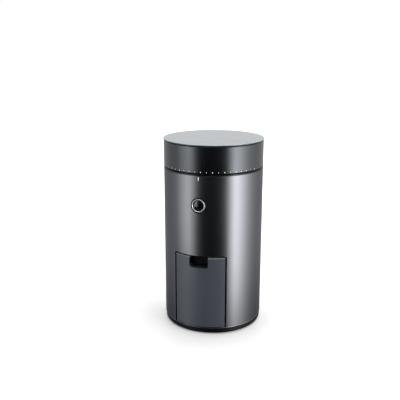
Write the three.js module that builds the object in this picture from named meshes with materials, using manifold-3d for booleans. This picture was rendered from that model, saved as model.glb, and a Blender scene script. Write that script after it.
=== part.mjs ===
// Burr coffee grinder with a lift-off hopper, a screw-adjusted flat burr set and a pull-out bin.
// Millimetres, +Z up, front towards -Y, origin on the counter under the centre of the body.

import * as THREE from 'three';
import { mergeVertices } from 'three/addons/utils/BufferGeometryUtils.js';
import Module from 'manifold-3d';

const wasm = await Module();
wasm.setup();

// ---- Driving dimensions ----
const BODY_R = 66;              // outside radius of the body tube and of the hopper
const BODY_H = 215;             // counter to the top rim of the body
const WALL = 2.5;               // tube wall, and the walls of the bay behind it
const BAY_W = 70.6;             // clear width of the bin bay
const BURR_R = 29;              // flat burrs, 58 mm class
const BURR_T = 9.1;             // thickness of one burr, teeth included
const BURR_GAP = 0.5;           // between the teeth at the stored setting
const HOPPER_H = 34;            // wide ring of the hopper
const HUB_R = BURR_R + 16.3;    // skirt under the wide ring
const HUB_H = 17.8;
const THREAD_H = 10.9;          // metal ring that seats in the collar
const SLEEVE_H = 26.5;          // bare tube that holds the upper burr
const LID_T = 1.8;
const LID_RIM_H = 13.5;
const DOT_COUNT = 41;           // grind settings marked round the hopper
const DOT_STEP = 6.56;          // degrees between settings
const DOT_FIRST = 68;           // degrees to the right of the front
const PINION_TEETH = 11;
const GEAR_TEETH = 39;
const BUTTON_R = 7.1;
const BUTTON_TRAVEL = 1.5;

// ---- Clearances ----
const FIT = 0.3;                // between pieces that stay together
const RUN = 0.6;                // round pieces that turn, lift or slide
const LOOSE = 2;                // round the bin, so that it can be pulled by hand

// ---- Facets round a circle ----
const FINE = 32;
const MID = 24;
const SMALL = 12;

// ---- Heights, from the counter up ----
const FOOT_H = 1;
const BASE_TOP = 7.7;
const SHELL_Z = BASE_TOP + FIT;
const BAY_FLOOR = 9;
const RIB_H = 0.6;
const RIB_PITCH = 16.7;

// ---- Heights, from the hopper seat down ----
const HOPPER_Z = BODY_H + 0.5;
const THREAD_Z = -HUB_H - THREAD_H;
const SLEEVE_Z = THREAD_Z - SLEEVE_H;
const BURR_BACK_Z = SLEEVE_Z + FIT + BURR_T;
const LOWER_TIP_Z = HOPPER_Z + SLEEVE_Z + FIT - BURR_GAP;
const LOWER_BACK_Z = LOWER_TIP_Z - BURR_T;
const CARRIER_T = 4;
const CARRIER_Z = LOWER_BACK_Z - FIT - CARRIER_T;
const CHAMBER_FLOOR = CARRIER_Z - 5.2;
const CHAMBER_Z = CHAMBER_FLOOR - WALL;
const PLATE_T = 3.5;
const CHASSIS_Z = CHAMBER_Z - FIT - PLATE_T;
const BEARING_R = 11;
const BEARING_T = 7;
const UPPER_BEARING_Z = CHASSIS_Z + PLATE_T - BEARING_T;
const GEAR_T = 8;
const GEAR_Z = UPPER_BEARING_Z - 1.2 - GEAR_T;
const LOWER_BEARING_Z = GEAR_Z - 1.1 - BEARING_T;
const GEAR_PLATE_T = 3;
const GEAR_PLATE_Z = LOWER_BEARING_Z - FIT - GEAR_PLATE_T;
const BAY_TOP = GEAR_PLATE_Z - FIT - WALL;
const BUTTON_Z = BODY_H - 40.1;
const CORD_Z = 16.5;
const MOTOR_FOOT = 34;
const MAGNET_R = 5;
const FINGER_W = 3;
const MAGNET_Z = BAY_TOP / 2 + 8;

// ---- Plan positions ----
const SHELL_IN = BODY_R - WALL;
const MOTOR_Y = (WALL + SHELL_IN) / 2;
const MOTOR_R = MOTOR_Y - WALL - 4.5;
const MODULE = 2 * MOTOR_Y / (PINION_TEETH + GEAR_TEETH);
const GEAR_R = MODULE * GEAR_TEETH / 2;
const SLEEVE_R = BURR_R + 1.4;
const SLEEVE_BORE = BURR_R - 10;
const THREAD_R = BURR_R + 2.3;
const THROAT_R = SLEEVE_BORE + 0.5;
const CHAMBER_R = BURR_R + 3.2;
const WELL_R = HUB_R + 1.3;
const POST_R = (WELL_R + WALL + SHELL_IN) / 2;
const FRAME_POST_R = SHELL_IN - 7.2;
const SPINDLE_R = 4;
const SHAFT_R = 2.5;

// ---- Grounds path ----
const DUCT_W = 14;
const DUCT_D = 10;
const DUCT_WALL = 1.5;
const DUCT_TOP_Y = -Math.max(CHAMBER_R + WALL + DUCT_D / 2 + 1.3, GEAR_R + 14);
const DUCT_END_Y = DUCT_TOP_Y + 4;
const DUCT_Z = BAY_TOP + FIT;
const DUCT_H = CHAMBER_Z - FIT - DUCT_Z;

// ---- Bin ----
const BIN_W = BAY_W - 2 * (LOOSE + 0.3);
const BIN_Z = BAY_FLOOR + RIB_H + FIT;
const BIN_H = BAY_TOP - LOOSE - BIN_Z;
const BIN_BACK = -1.6;
const BIN_WALL = 1.8;
const BIN_LID_T = 1.3;
const BIN_CORNER = 3;
const HOLE_W = 20;
const HOLE_D = 16;
const NOTCH_W = 25;
const NOTCH_D = 9;
const NOTCH_H = 14.5;

// ---- Lid ----
const LID_R = BODY_R + 0.5;
const LID_RIM_R = BODY_R - 3.7;
const BOWL_IN = LID_RIM_R + RUN;

const RAD = Math.PI / 180;

// ---------- materials ----------

function finish(color, roughness, metalness) {
  return new THREE.MeshStandardMaterial({ color, roughness, metalness });
}

const ANODISED = finish(0x17181b, 0.3, 0.8);
const MATT_BLACK = finish(0x131416, 0.5, 0);
const GLOSS_BLACK = finish(0x0a0a0c, 0.12, 0);
const BIN_GREY = finish(0x33363b, 0.42, 0);
const LID_GREY = finish(0x45494b, 0.45, 0);
const COVER_GREY = finish(0xa4abae, 0.2, 0.3);
const BARE_ALUMINIUM = finish(0xc6c8ca, 0.32, 1);
const CAST_GREY = finish(0x8c8f92, 0.45, 0.9);
const STEEL = finish(0xa9acb0, 0.28, 1);
const CHROME = finish(0xd9dcdf, 0.08, 1);
const RUBBER = finish(0x101010, 0.9, 0);
const NYLON = finish(0xd8d3c4, 0.5, 0);
const CIRCUIT = finish(0x1d5a38, 0.55, 0);
const WHITE = finish(0xf2f2f2, 0.6, 0);

// ---------- shape tools ----------

function weld(geometry) {
  const bare = geometry.clone();
  bare.deleteAttribute('normal');
  bare.deleteAttribute('uv');
  const merged = mergeVertices(bare, 1e-4);
  const index = merged.index.array;
  const kept = [];
  for (let i = 0; i < index.length; i += 3) {
    const [a, b, c] = [index[i], index[i + 1], index[i + 2]];
    if (a !== b && b !== c && c !== a) kept.push(a, b, c);
  }
  merged.setIndex(kept);
  return merged;
}

function toSolid(geometry) {
  const welded = weld(geometry);
  const mesh = new wasm.Mesh({
    numProp: 3,
    vertProperties: new Float32Array(welded.attributes.position.array),
    triVerts: new Uint32Array(welded.index.array),
  });
  return new wasm.Manifold(mesh);
}

function toGeometry(solid) {
  const mesh = solid.getMesh();
  const geometry = new THREE.BufferGeometry();
  geometry.setAttribute('position', new THREE.BufferAttribute(mesh.vertProperties, 3));
  geometry.setIndex(new THREE.BufferAttribute(mesh.triVerts, 1));
  return geometry;
}

function join(first, ...others) {
  return toGeometry(others.reduce((sum, g) => sum.add(toSolid(g)), toSolid(first)));
}

function cut(first, ...others) {
  return toGeometry(others.reduce((rest, g) => rest.subtract(toSolid(g)), toSolid(first)));
}

function common(first, second) {
  return toGeometry(toSolid(first).intersect(toSolid(second)));
}

// Solid of revolution about Z from a closed loop of [radius, height] points.
function turned(loop, facets = FINE) {
  const points = loop.map(([r, z]) => new THREE.Vector2(r, z));
  if (THREE.ShapeUtils.area(points) < 0) points.reverse();
  points.push(points[0].clone());
  return weld(new THREE.LatheGeometry(points, facets).rotateX(Math.PI / 2));
}

function rod(r, z0, z1, facets = MID) {
  return turned([[0, z0], [r, z0], [r, z1], [0, z1]], facets);
}

function tube(outer, inner, z0, z1, facets = FINE) {
  return turned([[inner, z0], [outer, z0], [outer, z1], [inner, z1]], facets);
}

function box(x0, x1, y0, y1, z0, z1) {
  const geometry = new THREE.BoxGeometry(x1 - x0, y1 - y0, z1 - z0);
  return geometry.translate((x0 + x1) / 2, (y0 + y1) / 2, (z0 + z1) / 2);
}

function prism(shape, z0, z1, facets = 12) {
  const depth = z1 - z0;
  const settings = { depth, bevelEnabled: false, curveSegments: facets };
  return new THREE.ExtrudeGeometry(shape, settings).translate(0, 0, z0);
}

// Part of a ring between two angles, in degrees from +X.
function sector(inner, outer, from, to, z0, z1) {
  const shape = new THREE.Shape();
  shape.absarc(0, 0, outer, from * RAD, to * RAD, false);
  shape.absarc(0, 0, inner, to * RAD, from * RAD, true);
  shape.closePath();
  return prism(shape, z0, z1, Math.ceil((to - from) / 10));
}

function leaning(geometry, slope, z0) {
  const shear = new THREE.Matrix4().set(1, 0, 0, 0, 0, 1, slope, -slope * z0, 0, 0, 1, 0, 0, 0, 0, 1);
  return geometry.applyMatrix4(shear);
}

function piece(name, geometry, material) {
  const closed = weld(geometry).toNonIndexed();
  closed.computeVertexNormals();
  const mesh = new THREE.Mesh(closed, material);
  mesh.name = name;
  return mesh;
}

function assembly(...children) {
  const group = new THREE.Group();
  group.add(...children);
  return group;
}

// ---------- housing ----------

// Bay mouth as a cutter: square at the floor, small rounds at the top corners.
function bayMouth() {
  const half = BAY_W / 2;
  const round = 3;
  const shape = new THREE.Shape();
  shape.moveTo(-half, BAY_FLOOR);
  shape.lineTo(half, BAY_FLOOR);
  shape.lineTo(half, BAY_TOP - round);
  shape.absarc(half - round, BAY_TOP - round, round, 0, Math.PI / 2, false);
  shape.absarc(-half + round, BAY_TOP - round, round, Math.PI / 2, Math.PI, false);
  shape.closePath();
  return prism(shape, 0, BODY_R, 5).rotateX(Math.PI / 2);
}

function cordPassage() {
  return rod(6.9, BODY_R * 0.8, BODY_R * 1.1, SMALL).rotateX(-Math.PI / 2).translate(0, 0, CORD_Z);
}

function bodyShell() {
  const top = BODY_H - 1.8 - FIT;
  const wall = tube(BODY_R, SHELL_IN, SHELL_Z, top);
  const buttonHole = rod(BUTTON_R + 3.1, 0, BODY_R * 1.1).rotateX(Math.PI / 2).translate(0, 0, BUTTON_Z);
  const cordHole = cordPassage();
  const front = -BODY_R;
  const markPocket = box(-0.6, 0.6, front - 1, front + 0.6, BODY_H - 8.3, BODY_H - 3.6);
  return cut(wall, bayMouth(), buttonHole, cordHole, markPocket);
}

function rimTrim() {
  const z = BODY_H - 1.8;
  const outer = BODY_R;
  const inner = BODY_R - 3;
  return turned([
    [inner, z], [outer, z], [outer, BODY_H - 0.4], [outer - 0.4, BODY_H],
    [inner + 0.5, BODY_H], [inner, BODY_H - 0.5],
  ]);
}

// Small white index line let into the tube under the rim.
function pointerMark() {
  const front = -BODY_R;
  return box(-0.4, 0.4, front + 0.02, front + 0.4, BODY_H - 8.1, BODY_H - 3.8);
}

function baseTray() {
  const skirt = BODY_R - 4.8;
  const spigot = SHELL_IN - 0.4;
  const deck = BASE_TOP - 0.5;
  const tray = turned([
    [skirt, FOOT_H], [BODY_R - 1.6, FOOT_H], [BODY_R - 0.7, FOOT_H + 1], [BODY_R - 0.4, BASE_TOP],
    [spigot, BASE_TOP], [spigot, BASE_TOP + 8.3], [spigot - 1.8, BASE_TOP + 8.3],
    [spigot - 1.8, deck], [0, deck], [0, 3.2], [skirt, 3.2],
  ]);
  const half = BAY_W / 2 + WALL + 0.6;
  const bayRoom = box(-half, half, -BODY_R * 1.1, WALL + RUN, deck, BASE_TOP + 9);
  return cut(tray, bayRoom, cordPassage());
}

function bottomCover() {
  return rod(BODY_R - 5.2, FOOT_H + 0.2, 2.9, FINE);
}

function foot() {
  return turned([[0, 0], [5.4, 0], [6, 0.3], [6, FOOT_H - 0.1], [0, FOOT_H - 0.1]], SMALL);
}

function cordBush() {
  const bush = turned([
    [3.2, 0], [5.2, 0], [6.6, -0.4], [6.6, -WALL - 1.2], [5, -WALL - 1.2], [5, -WALL - 9], [3.2, -WALL - 9],
  ], SMALL);
  return bush.rotateX(-Math.PI / 2).translate(0, BODY_R - 0.4, CORD_Z);
}

// Liner of the bay: floor with ribs, two sides, a back and a ceiling with the grounds hole.
function binBay() {
  const half = BAY_W / 2;
  const block = box(-half - WALL, half + WALL, -BODY_R, WALL, BASE_TOP - 0.2, BAY_TOP + WALL);
  const inside = common(block, rod(SHELL_IN - FIT, 0, BODY_H, FINE));
  const space = box(-half, half, -BODY_R * 1.1, 0, BAY_FLOOR, BAY_TOP);
  const ribs = [-1, 0, 1].map((i) => {
    const x = i * RIB_PITCH;
    return box(x - 0.8, x + 0.8, -SHELL_IN * 0.78, -3, BAY_FLOOR - 0.5, BAY_FLOOR + RIB_H);
  });
  const mouthX = DUCT_W / 2 + DUCT_WALL + RUN;
  const mouthY = DUCT_D / 2 + DUCT_WALL + RUN + 0.3;
  const low = DUCT_END_Y - mouthY;
  const hole = box(-mouthX, mouthX, low, low + 2 * mouthY, BAY_TOP - 1, BAY_TOP + WALL + 1);
  const magnetPocket = rod(MAGNET_R + FIT, -2, 1.8, SMALL).rotateX(-Math.PI / 2).translate(0, 0, MAGNET_Z);
  return join(cut(inside, space, hole, magnetPocket), ...ribs);
}

function bayMagnet() {
  return rod(MAGNET_R, 0.2, 1.5, SMALL).rotateX(-Math.PI / 2).translate(0, 0, MAGNET_Z);
}

// ---------- inner frame ----------

function postAngles() {
  return [45, 135, 225, 315];
}

function polar(radius, angle) {
  return [radius * Math.cos(angle * RAD), radius * Math.sin(angle * RAD)];
}

function ductWindow(z0, z1) {
  const halfX = DUCT_W / 2 + DUCT_WALL + RUN;
  const low = DUCT_TOP_Y - DUCT_D / 2 - DUCT_WALL - RUN;
  const high = DUCT_END_Y + DUCT_D / 2 + DUCT_WALL + RUN;
  return box(-halfX, halfX, low, high, z0, z1);
}

// Lower plate: carries the motor, the lower bearing and the posts.
function gearPlate() {
  const top = GEAR_PLATE_Z + GEAR_PLATE_T;
  const disc = rod(SHELL_IN - FIT, GEAR_PLATE_Z, top, FINE);
  const boss = rod(BEARING_R + 3.5, GEAR_PLATE_Z + 1, LOWER_BEARING_Z + BEARING_T + 0.2);
  const seat = rod(BEARING_R + 0.05, LOWER_BEARING_Z - 0.05, GEAR_Z);
  const motorHole = rod(8.4, GEAR_PLATE_Z - 1, top + 1, MID).translate(0, MOTOR_Y, 0);
  return cut(join(disc, boss), seat, motorHole, ductWindow(GEAR_PLATE_Z - 1, top + 1));
}

// Upper plate: carries the burr chamber and the upper bearing.
function chassisPlate() {
  const top = CHASSIS_Z + PLATE_T;
  const disc = rod(SHELL_IN - FIT, CHASSIS_Z, top, FINE);
  const boss = rod(BEARING_R + 3.5, UPPER_BEARING_Z, CHASSIS_Z + 1);
  const seat = rod(BEARING_R + 0.05, UPPER_BEARING_Z - 1, top + 1);
  const postHoles = postAngles().map((angle) => {
    const [x, y] = polar(POST_R, angle);
    return rod(3.2 + FIT, CHASSIS_Z - 1, top + 1, SMALL).translate(x, y, 0);
  });
  return cut(join(disc, boss), seat, ductWindow(CHASSIS_Z - 1, top + 1), ...postHoles);
}

// Stepped post: the upper plate rests on the shoulder, the deck on the end.
function deckPost() {
  const foot = GEAR_PLATE_Z + GEAR_PLATE_T + FIT;
  const shoulder = CHASSIS_Z - FIT;
  const end = BODY_H - 10.8;
  return turned([[0, foot], [4, foot], [4, shoulder], [3.2, shoulder], [3.2, end], [0, end]], SMALL);
}

function framePost() {
  return rod(4, BASE_TOP - 0.2, GEAR_PLATE_Z - FIT, SMALL);
}

// ---------- drive ----------

function motorCan() {
  const top = GEAR_PLATE_Z - FIT;
  const low = MOTOR_FOOT;
  const can = turned([
    [0, low], [MOTOR_R - 1, low], [MOTOR_R, low + 1], [MOTOR_R, top - 1.5], [MOTOR_R - 1.5, top],
    [8, top], [8, top + 2.6], [0, top + 2.6],
  ], MID);
  return cut(can, rod(SHAFT_R + FIT, top - 12, top + 4, SMALL));
}

function motorEndCap() {
  const top = MOTOR_FOOT - FIT;
  const low = top - 8.7;
  return turned([
    [0, low - 3], [10, low - 3], [12, low], [MOTOR_R - 2, low],
    [MOTOR_R - 1, low + 1], [MOTOR_R - 1, top], [0, top],
  ], MID);
}

function motorShaft() {
  return rod(SHAFT_R, GEAR_PLATE_Z - 11, GEAR_Z + GEAR_T + 2.6, SMALL);
}

// Involute spur gear, 25 degree pressure angle, thinned flanks for backlash.
function spurGear(teeth, bore, z0, z1, phase) {
  const pitch = MODULE * teeth / 2;
  const base = pitch * Math.cos(25 * RAD);
  const tip = pitch + 0.95 * MODULE;
  const root = pitch - 1.22 * MODULE;
  const involute = (r) => {
    const a = Math.acos(Math.min(1, base / r));
    return Math.tan(a) - a;
  };
  const halfPitch = Math.PI / (2 * teeth) - 0.09 / pitch;
  const halfAt = (r) => halfPitch + involute(pitch) - involute(Math.max(r, base));
  const radii = base > root ? [root, base, pitch, tip] : [root, pitch, tip];
  const shape = new THREE.Shape();
  for (let i = 0; i < teeth; i += 1) {
    const centre = phase + 2 * Math.PI * i / teeth;
    const flank = radii.map((r) => [r, halfAt(r)]);
    const rising = flank.map(([r, h]) => [r, centre - h]);
    const falling = flank.reverse().map(([r, h]) => [r, centre + h]);
    const points = [...rising, ...falling];
    points.forEach(([r, a], k) => {
      const place = i === 0 && k === 0 ? 'moveTo' : 'lineTo';
      shape[place](r * Math.cos(a), r * Math.sin(a));
    });
  }
  shape.closePath();
  return cut(prism(shape, z0, z1), rod(bore, z0 - 1, z1 + 1, SMALL));
}

function driveGear() {
  const web = tube(GEAR_R - 5, 12, GEAR_Z + GEAR_T / 2 + 1, GEAR_Z + GEAR_T + 1, MID);
  return cut(spurGear(GEAR_TEETH, SPINDLE_R + 0.05, GEAR_Z, GEAR_Z + GEAR_T, Math.PI / 2), web);
}

function motorPinion() {
  const phase = -Math.PI / 2 + Math.PI / PINION_TEETH;
  return spurGear(PINION_TEETH, SHAFT_R + 0.05, GEAR_Z - 1, GEAR_Z + GEAR_T + 0.5, phase);
}

function spindle() {
  const end = LOWER_BACK_Z + 5.6;
  return turned([
    [0, LOWER_BEARING_Z], [SPINDLE_R, LOWER_BEARING_Z], [SPINDLE_R, end],
    [SPINDLE_R - 0.6, end + 0.6], [0, end + 0.6],
  ], SMALL);
}

function bearing(z) {
  return turned([
    [SPINDLE_R + 0.05, z], [7, z], [BEARING_R, z + 0.5],
    [BEARING_R, z + BEARING_T - 0.4], [SPINDLE_R + 0.05, z + BEARING_T - 0.4],
  ], MID);
}

// ---------- burrs ----------

// Ring of radial teeth on a flat back: back at 0, teeth towards +Z, valleys on every other facet.
function burr(facets = 40) {
  const inner = BURR_R - 14;
  const bend = BURR_R - 9;
  const loop = [[inner, 0], [BURR_R, 0], [BURR_R, BURR_T], [bend, BURR_T], [inner, BURR_T - 3.6]];
  const points = loop.map(([r, z]) => new THREE.Vector2(r, z));
  points.push(points[0].clone());
  const ring = new THREE.LatheGeometry(points, facets);
  const valley = [0, 0, 0.9, 1.8, 1.6, 0];
  const position = ring.attributes.position;
  for (let i = 0; i <= facets; i += 1) {
    for (let j = 0; j < points.length; j += 1) {
      const k = i * points.length + j;
      if (i % 2 === 1) position.setY(k, position.getY(k) - valley[j]);
    }
  }
  const holes = screwPlaces().map(([x, y]) => turned([
    [0, -1], [2, -1], [2, BURR_T - 6.2], [3.5, BURR_T - 4.4], [3.5, BURR_T + 1], [0, BURR_T + 1],
  ], SMALL).translate(x, y, 0));
  return cut(ring.rotateX(Math.PI / 2), ...holes);
}

function screwPlaces() {
  return [30, 150, 270].map((angle) => polar(BURR_R - 5, angle));
}

// Countersunk screw in the coordinates of the burr it holds.
function burrScrew() {
  const head = BURR_T - 4.3;
  const screw = turned([
    [0, -4], [1.7, -4], [1.7, head - 2], [3.2, head - 0.1], [3.2, head + 1.2], [0, head + 1.2],
  ], 12);
  return cut(screw, box(-4, 4, -0.5, 0.5, head + 0.4, head + 2));
}

function lowerCarrier() {
  const low = CHAMBER_FLOOR + RUN;
  const disc = rod(BURR_R - 0.5, CARRIER_Z, CARRIER_Z + CARRIER_T);
  const hub = rod(9, low, CARRIER_Z + 1, MID);
  const sweeper = box(-CHAMBER_R + 0.8, CHAMBER_R - 0.8, -1.5, 1.5, low, CARRIER_Z + 1.5);
  const bore = rod(SPINDLE_R + 0.05, low - 1, LOWER_BACK_Z + 1, SMALL);
  const tapped = screwPlaces().map(([x, y]) => {
    return rod(2, CARRIER_Z - 1, LOWER_BACK_Z + 1, SMALL).translate(x, y, 0);
  });
  return cut(join(disc, hub, sweeper), bore, ...tapped);
}

function burrNut() {
  const z = LOWER_BACK_Z;
  const nut = turned([[0, z], [7.5, z], [7.5, z + 4.6], [6.8, z + 5], [0, z + 5]], 6);
  return cut(nut, rod(SPINDLE_R + 0.05, z - 1, z + 6, SMALL));
}

// Cup round the lower burr with a spout at the front that opens down into the duct.
function burrChamber() {
  const top = HOPPER_Z + THREAD_Z - 8;
  const outer = CHAMBER_R + WALL;
  const cup = turned([
    [SPINDLE_R + 1, CHAMBER_Z], [outer, CHAMBER_Z], [outer, top], [CHAMBER_R, top],
    [CHAMBER_R, CHAMBER_FLOOR], [SPINDLE_R + 1, CHAMBER_FLOOR],
  ]);
  const halfX = DUCT_W / 2 + 0.5;
  const far = DUCT_TOP_Y - DUCT_D / 2 - 0.5;
  const roof = LOWER_TIP_Z - 8;
  const spout = box(-halfX - 2, halfX + 2, far - 2, -CHAMBER_R - 0.3, CHAMBER_Z, roof + 2);
  const drop = box(-halfX, halfX, far, -outer - 0.4, CHAMBER_Z - 1, roof);
  const port = box(-halfX, halfX, far, -CHAMBER_R * 0.8, CHAMBER_FLOOR, roof);
  return cut(join(cup, spout), drop, port);
}

function groundsDuct() {
  const slope = (DUCT_TOP_Y - DUCT_END_Y) / DUCT_H;
  const x = DUCT_W / 2;
  const y = DUCT_D / 2;
  const outer = box(-x - DUCT_WALL, x + DUCT_WALL, -y - DUCT_WALL, y + DUCT_WALL, DUCT_Z, DUCT_Z + DUCT_H);
  const inner = box(-x, x, -y, y, DUCT_Z - 1, DUCT_Z + DUCT_H + 1);
  const duct = cut(leaning(outer, slope, DUCT_Z), leaning(inner, slope, DUCT_Z));
  return duct.translate(0, DUCT_END_Y, 0);
}

// ---------- top of the body ----------

// Glossy ledge under the rim, recessed deck and the well that the hopper's hub drops into.
function topDeck() {
  const floor = HOPPER_Z + THREAD_Z + 0.7;
  const outer = SHELL_IN - FIT;
  const deck = BODY_H - 7.5;
  const under = BODY_H - 10.5;
  const plate = turned([
    [THREAD_R + 1.7, floor], [WELL_R + 2.4, floor], [WELL_R + 2.4, under], [outer, under],
    [outer, BODY_H - 3.5], [outer - 3.7, BODY_H - 3.5], [outer - 4.7, BODY_H - 4.5], [outer - 4.7, deck],
    [WELL_R + 1, deck], [WELL_R, deck - 1], [WELL_R, floor + 2.5], [THREAD_R + 1.7, floor + 2.5],
  ]);
  const slotFront = SHELL_IN - 2.7;
  const half = FINGER_W / 2 + 2 * FIT;
  return cut(plate, box(-half, half, slotFront, SHELL_IN + 1, under - 1, BODY_H));
}

function detentFinger() {
  const outer = SHELL_IN - 1.2;
  const half = FINGER_W / 2;
  const blade = box(-half, half, outer - 1, outer - 0.1, BODY_H - 20, BODY_H + 2.4);
  const heel = box(-half, half, outer - 4, outer - 0.1, BODY_H - 21, BODY_H - 19);
  return join(blade, heel);
}

// Ring under the collar; it rises with the thread and does not turn.
function liftRing() {
  const z = HOPPER_Z + THREAD_Z + 3.9;
  return tube(HUB_R - 0.5, THREAD_R + 1.7, z, z + 1.6);
}

function collarLug(from) {
  return sector(HUB_R - 3.8, HUB_R - 0.4, from, from + 16, collarTop() - 1, collarTop() + 4.1);
}

function collarTop() {
  return HOPPER_Z - HUB_H - 0.5;
}

function adjustingCollar() {
  const z = HOPPER_Z + THREAD_Z + 5.8;
  const ring = tube(HUB_R + 0.2, THREAD_R + RUN, z, collarTop());
  return join(ring, collarLug(-118), collarLug(-206));
}

// ---------- hopper, in coordinates from the foot of its wide ring ----------

function hopperBowl() {
  const mouth = HOPPER_H / 2 - 0.4;
  const bowl = turned([
    [THROAT_R, THREAD_Z + FIT], [THROAT_R + 2.4, THREAD_Z + FIT], [THROAT_R + 2.4, 0],
    [SHELL_IN - 2.9, 0], [SHELL_IN - 2.9, 4.5], [BODY_R - 1.6, 4.5], [BODY_R - 1.6, 0],
    [BODY_R - 0.8, 0], [BODY_R, 1], [BODY_R, HOPPER_H - 1], [BODY_R - 1, HOPPER_H],
    [BOWL_IN, HOPPER_H], [BOWL_IN, mouth], [THROAT_R + 4.5, 3], [THROAT_R, -2],
  ]);
  const dots = [];
  for (let i = 0; i < DOT_COUNT; i += 1) {
    const angle = (DOT_FIRST - i * DOT_STEP) * RAD;
    const dot = new THREE.CylinderGeometry(0.6, 0.6, 2, 4).translate(0, -BODY_R + 0.4, 0);
    dots.push(dot.translate(0, 0, 2.2).rotateZ(angle));
  }
  return cut(bowl, ...dots);
}

// Skirted hub; its edge is cut back along one side and runs out to full depth on a ramp.
function hopperHub() {
  const floor = -HUB_H + 4.3;
  const inner = THROAT_R + 2.7;
  const hub = turned([
    [inner, floor], [HUB_R - 4.2, floor], [HUB_R - 4.2, -HUB_H], [HUB_R - 0.5, -HUB_H],
    [HUB_R, -HUB_H + 0.5], [HUB_R, -FIT], [inner, -FIT],
  ]);
  const gap = sector(HUB_R - 4.5, HUB_R + 2, -210, -99, -HUB_H - 1, floor);
  const ramp = new THREE.BoxGeometry(8, 12, 8).rotateY(Math.PI / 4);
  const [x, y] = polar(HUB_R, -96.6);
  ramp.translate(x - 1.3, y, -HUB_H - 1.5);
  return cut(hub, gap, ramp);
}

function threadRing() {
  const inner = THROAT_R + 2.7;
  const ring = tube(THREAD_R, inner, THREAD_Z, -HUB_H + 4);
  const start = [];
  for (let i = 0; i < 7; i += 1) {
    const groove = new THREE.BoxGeometry(5, 3, 2.2).translate(0, -THREAD_R - 0.5, THREAD_Z + 3 + i * 0.55);
    start.push(groove.rotateZ((-40 + i * 8) * RAD));
  }
  return cut(ring, ...start);
}

function burrSleeve() {
  const seat = BURR_BACK_Z + FIT;
  const bore = BURR_R + 0.3;
  const sleeve = turned([
    [bore, SLEEVE_Z], [SLEEVE_R - 0.4, SLEEVE_Z], [SLEEVE_R, SLEEVE_Z + 0.4], [SLEEVE_R, THREAD_Z - FIT],
    [SLEEVE_BORE, THREAD_Z - FIT], [SLEEVE_BORE, seat], [bore, seat],
  ]);
  const tapped = screwPlaces().map(([x, y]) => rod(2, seat - 1, seat + 5, 12).translate(x, -y, 0));
  return cut(sleeve, ...tapped);
}

// ---------- lid, in coordinates from the top edge of the hopper ----------

function lidDisc() {
  return turned([
    [0, 0], [LID_R - 0.4, 0], [LID_R, 0.4], [LID_R, LID_T - 0.5], [LID_R - 0.5, LID_T], [0, LID_T],
  ]);
}

// Plug under the disc: upright rim, then a smaller step that leads it into the hopper.
function lidRim() {
  const step = -LID_RIM_H - 3.5;
  return turned([
    [0, -FIT - 2], [LID_RIM_R - 5.6, -FIT - 2], [LID_RIM_R - 5.6, step], [LID_RIM_R - 3.6, step],
    [LID_RIM_R - 3.6, -LID_RIM_H], [LID_RIM_R - 0.6, -LID_RIM_H], [LID_RIM_R, -LID_RIM_H + 0.6],
    [LID_RIM_R, -FIT], [0, -FIT],
  ]);
}

// ---------- bin, in coordinates from its underside ----------

// Plan of the bin: face on the body's own radius, straight sides, rounded back corners.
function binPlan(inset) {
  const half = BIN_W / 2 - inset;
  const face = BODY_R - inset;
  const turn = Math.asin(half / face);
  const back = BIN_BACK - inset;
  const round = Math.max(BIN_CORNER - inset, 0.8);
  const shape = new THREE.Shape();
  shape.absarc(0, 0, face, -Math.PI / 2 - turn, -Math.PI / 2 + turn, false);
  shape.absarc(half - round, back - round, round, 0, Math.PI / 2, false);
  shape.absarc(-half + round, back - round, round, Math.PI / 2, Math.PI, false);
  shape.closePath();
  return shape;
}

function notch(grow, top) {
  const half = NOTCH_W / 2 + grow;
  const low = BIN_H - NOTCH_H - grow;
  const round = 3;
  const shape = new THREE.Shape();
  shape.moveTo(-half, top);
  shape.lineTo(-half, low + round);
  shape.absarc(-half + round, low + round, round, Math.PI, 1.5 * Math.PI, false);
  shape.absarc(half - round, low + round, round, 1.5 * Math.PI, 2 * Math.PI, false);
  shape.lineTo(half, top);
  shape.closePath();
  const depth = BODY_R * 0.5;
  const reach = -BODY_R + NOTCH_D + grow;
  return prism(shape, 0, depth, 4).rotateX(Math.PI / 2).translate(0, reach, 0);
}

function binShell() {
  const top = BIN_H - BIN_LID_T - FIT;
  const block = prism(binPlan(0), 0, top, 8);
  const space = prism(binPlan(BIN_WALL), BIN_WALL, top + 1, 8);
  const pocket = common(notch(BIN_WALL, top), block);
  return cut(join(cut(block, space), pocket), notch(0, BIN_H + 1));
}

function binLid() {
  const under = BIN_H - BIN_LID_T;
  const plate = prism(binPlan(0), under, BIN_H, 8);
  const plug = prism(binPlan(BIN_WALL + FIT), under - 4, under + 0.5, 8);
  const plugSpace = prism(binPlan(BIN_WALL + FIT + 1.5), under - 5, under, 8);
  const front = DUCT_END_Y - HOLE_D / 2;
  const hole = box(-HOLE_W / 2, HOLE_W / 2, front, front + HOLE_D, under - 1, BIN_H + 1);
  const clear = common(notch(BIN_WALL + FIT, BIN_H + 1), box(-BODY_R, BODY_R, -BODY_R * 1.1, 0, 0, under));
  const vent = rod(1.4, BIN_H - 0.6, BIN_H + 1, 10).scale(1.8, 1, 1);
  vent.translate(-BIN_W * 0.32, DUCT_END_Y - 1, 0);
  return cut(join(plate, cut(plug, plugSpace)), hole, clear, notch(0, BIN_H + 2), vent);
}

// ---------- button, in coordinates from the body's surface outwards ----------

function buttonBezel() {
  const outer = BUTTON_R + 2.8;
  const inner = BUTTON_R + 1.7;
  return turned([[inner, -9], [outer, -9], [outer, 0], [outer - 0.4, 0.3], [inner, 0.3]], MID);
}

function buttonRing() {
  const outer = BUTTON_R + 1.4;
  const inner = BUTTON_R + 0.25;
  return turned([[inner, -7], [outer, -7], [outer, 0.2], [outer - 0.5, 0.45], [inner, 0.2]], MID);
}

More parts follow.
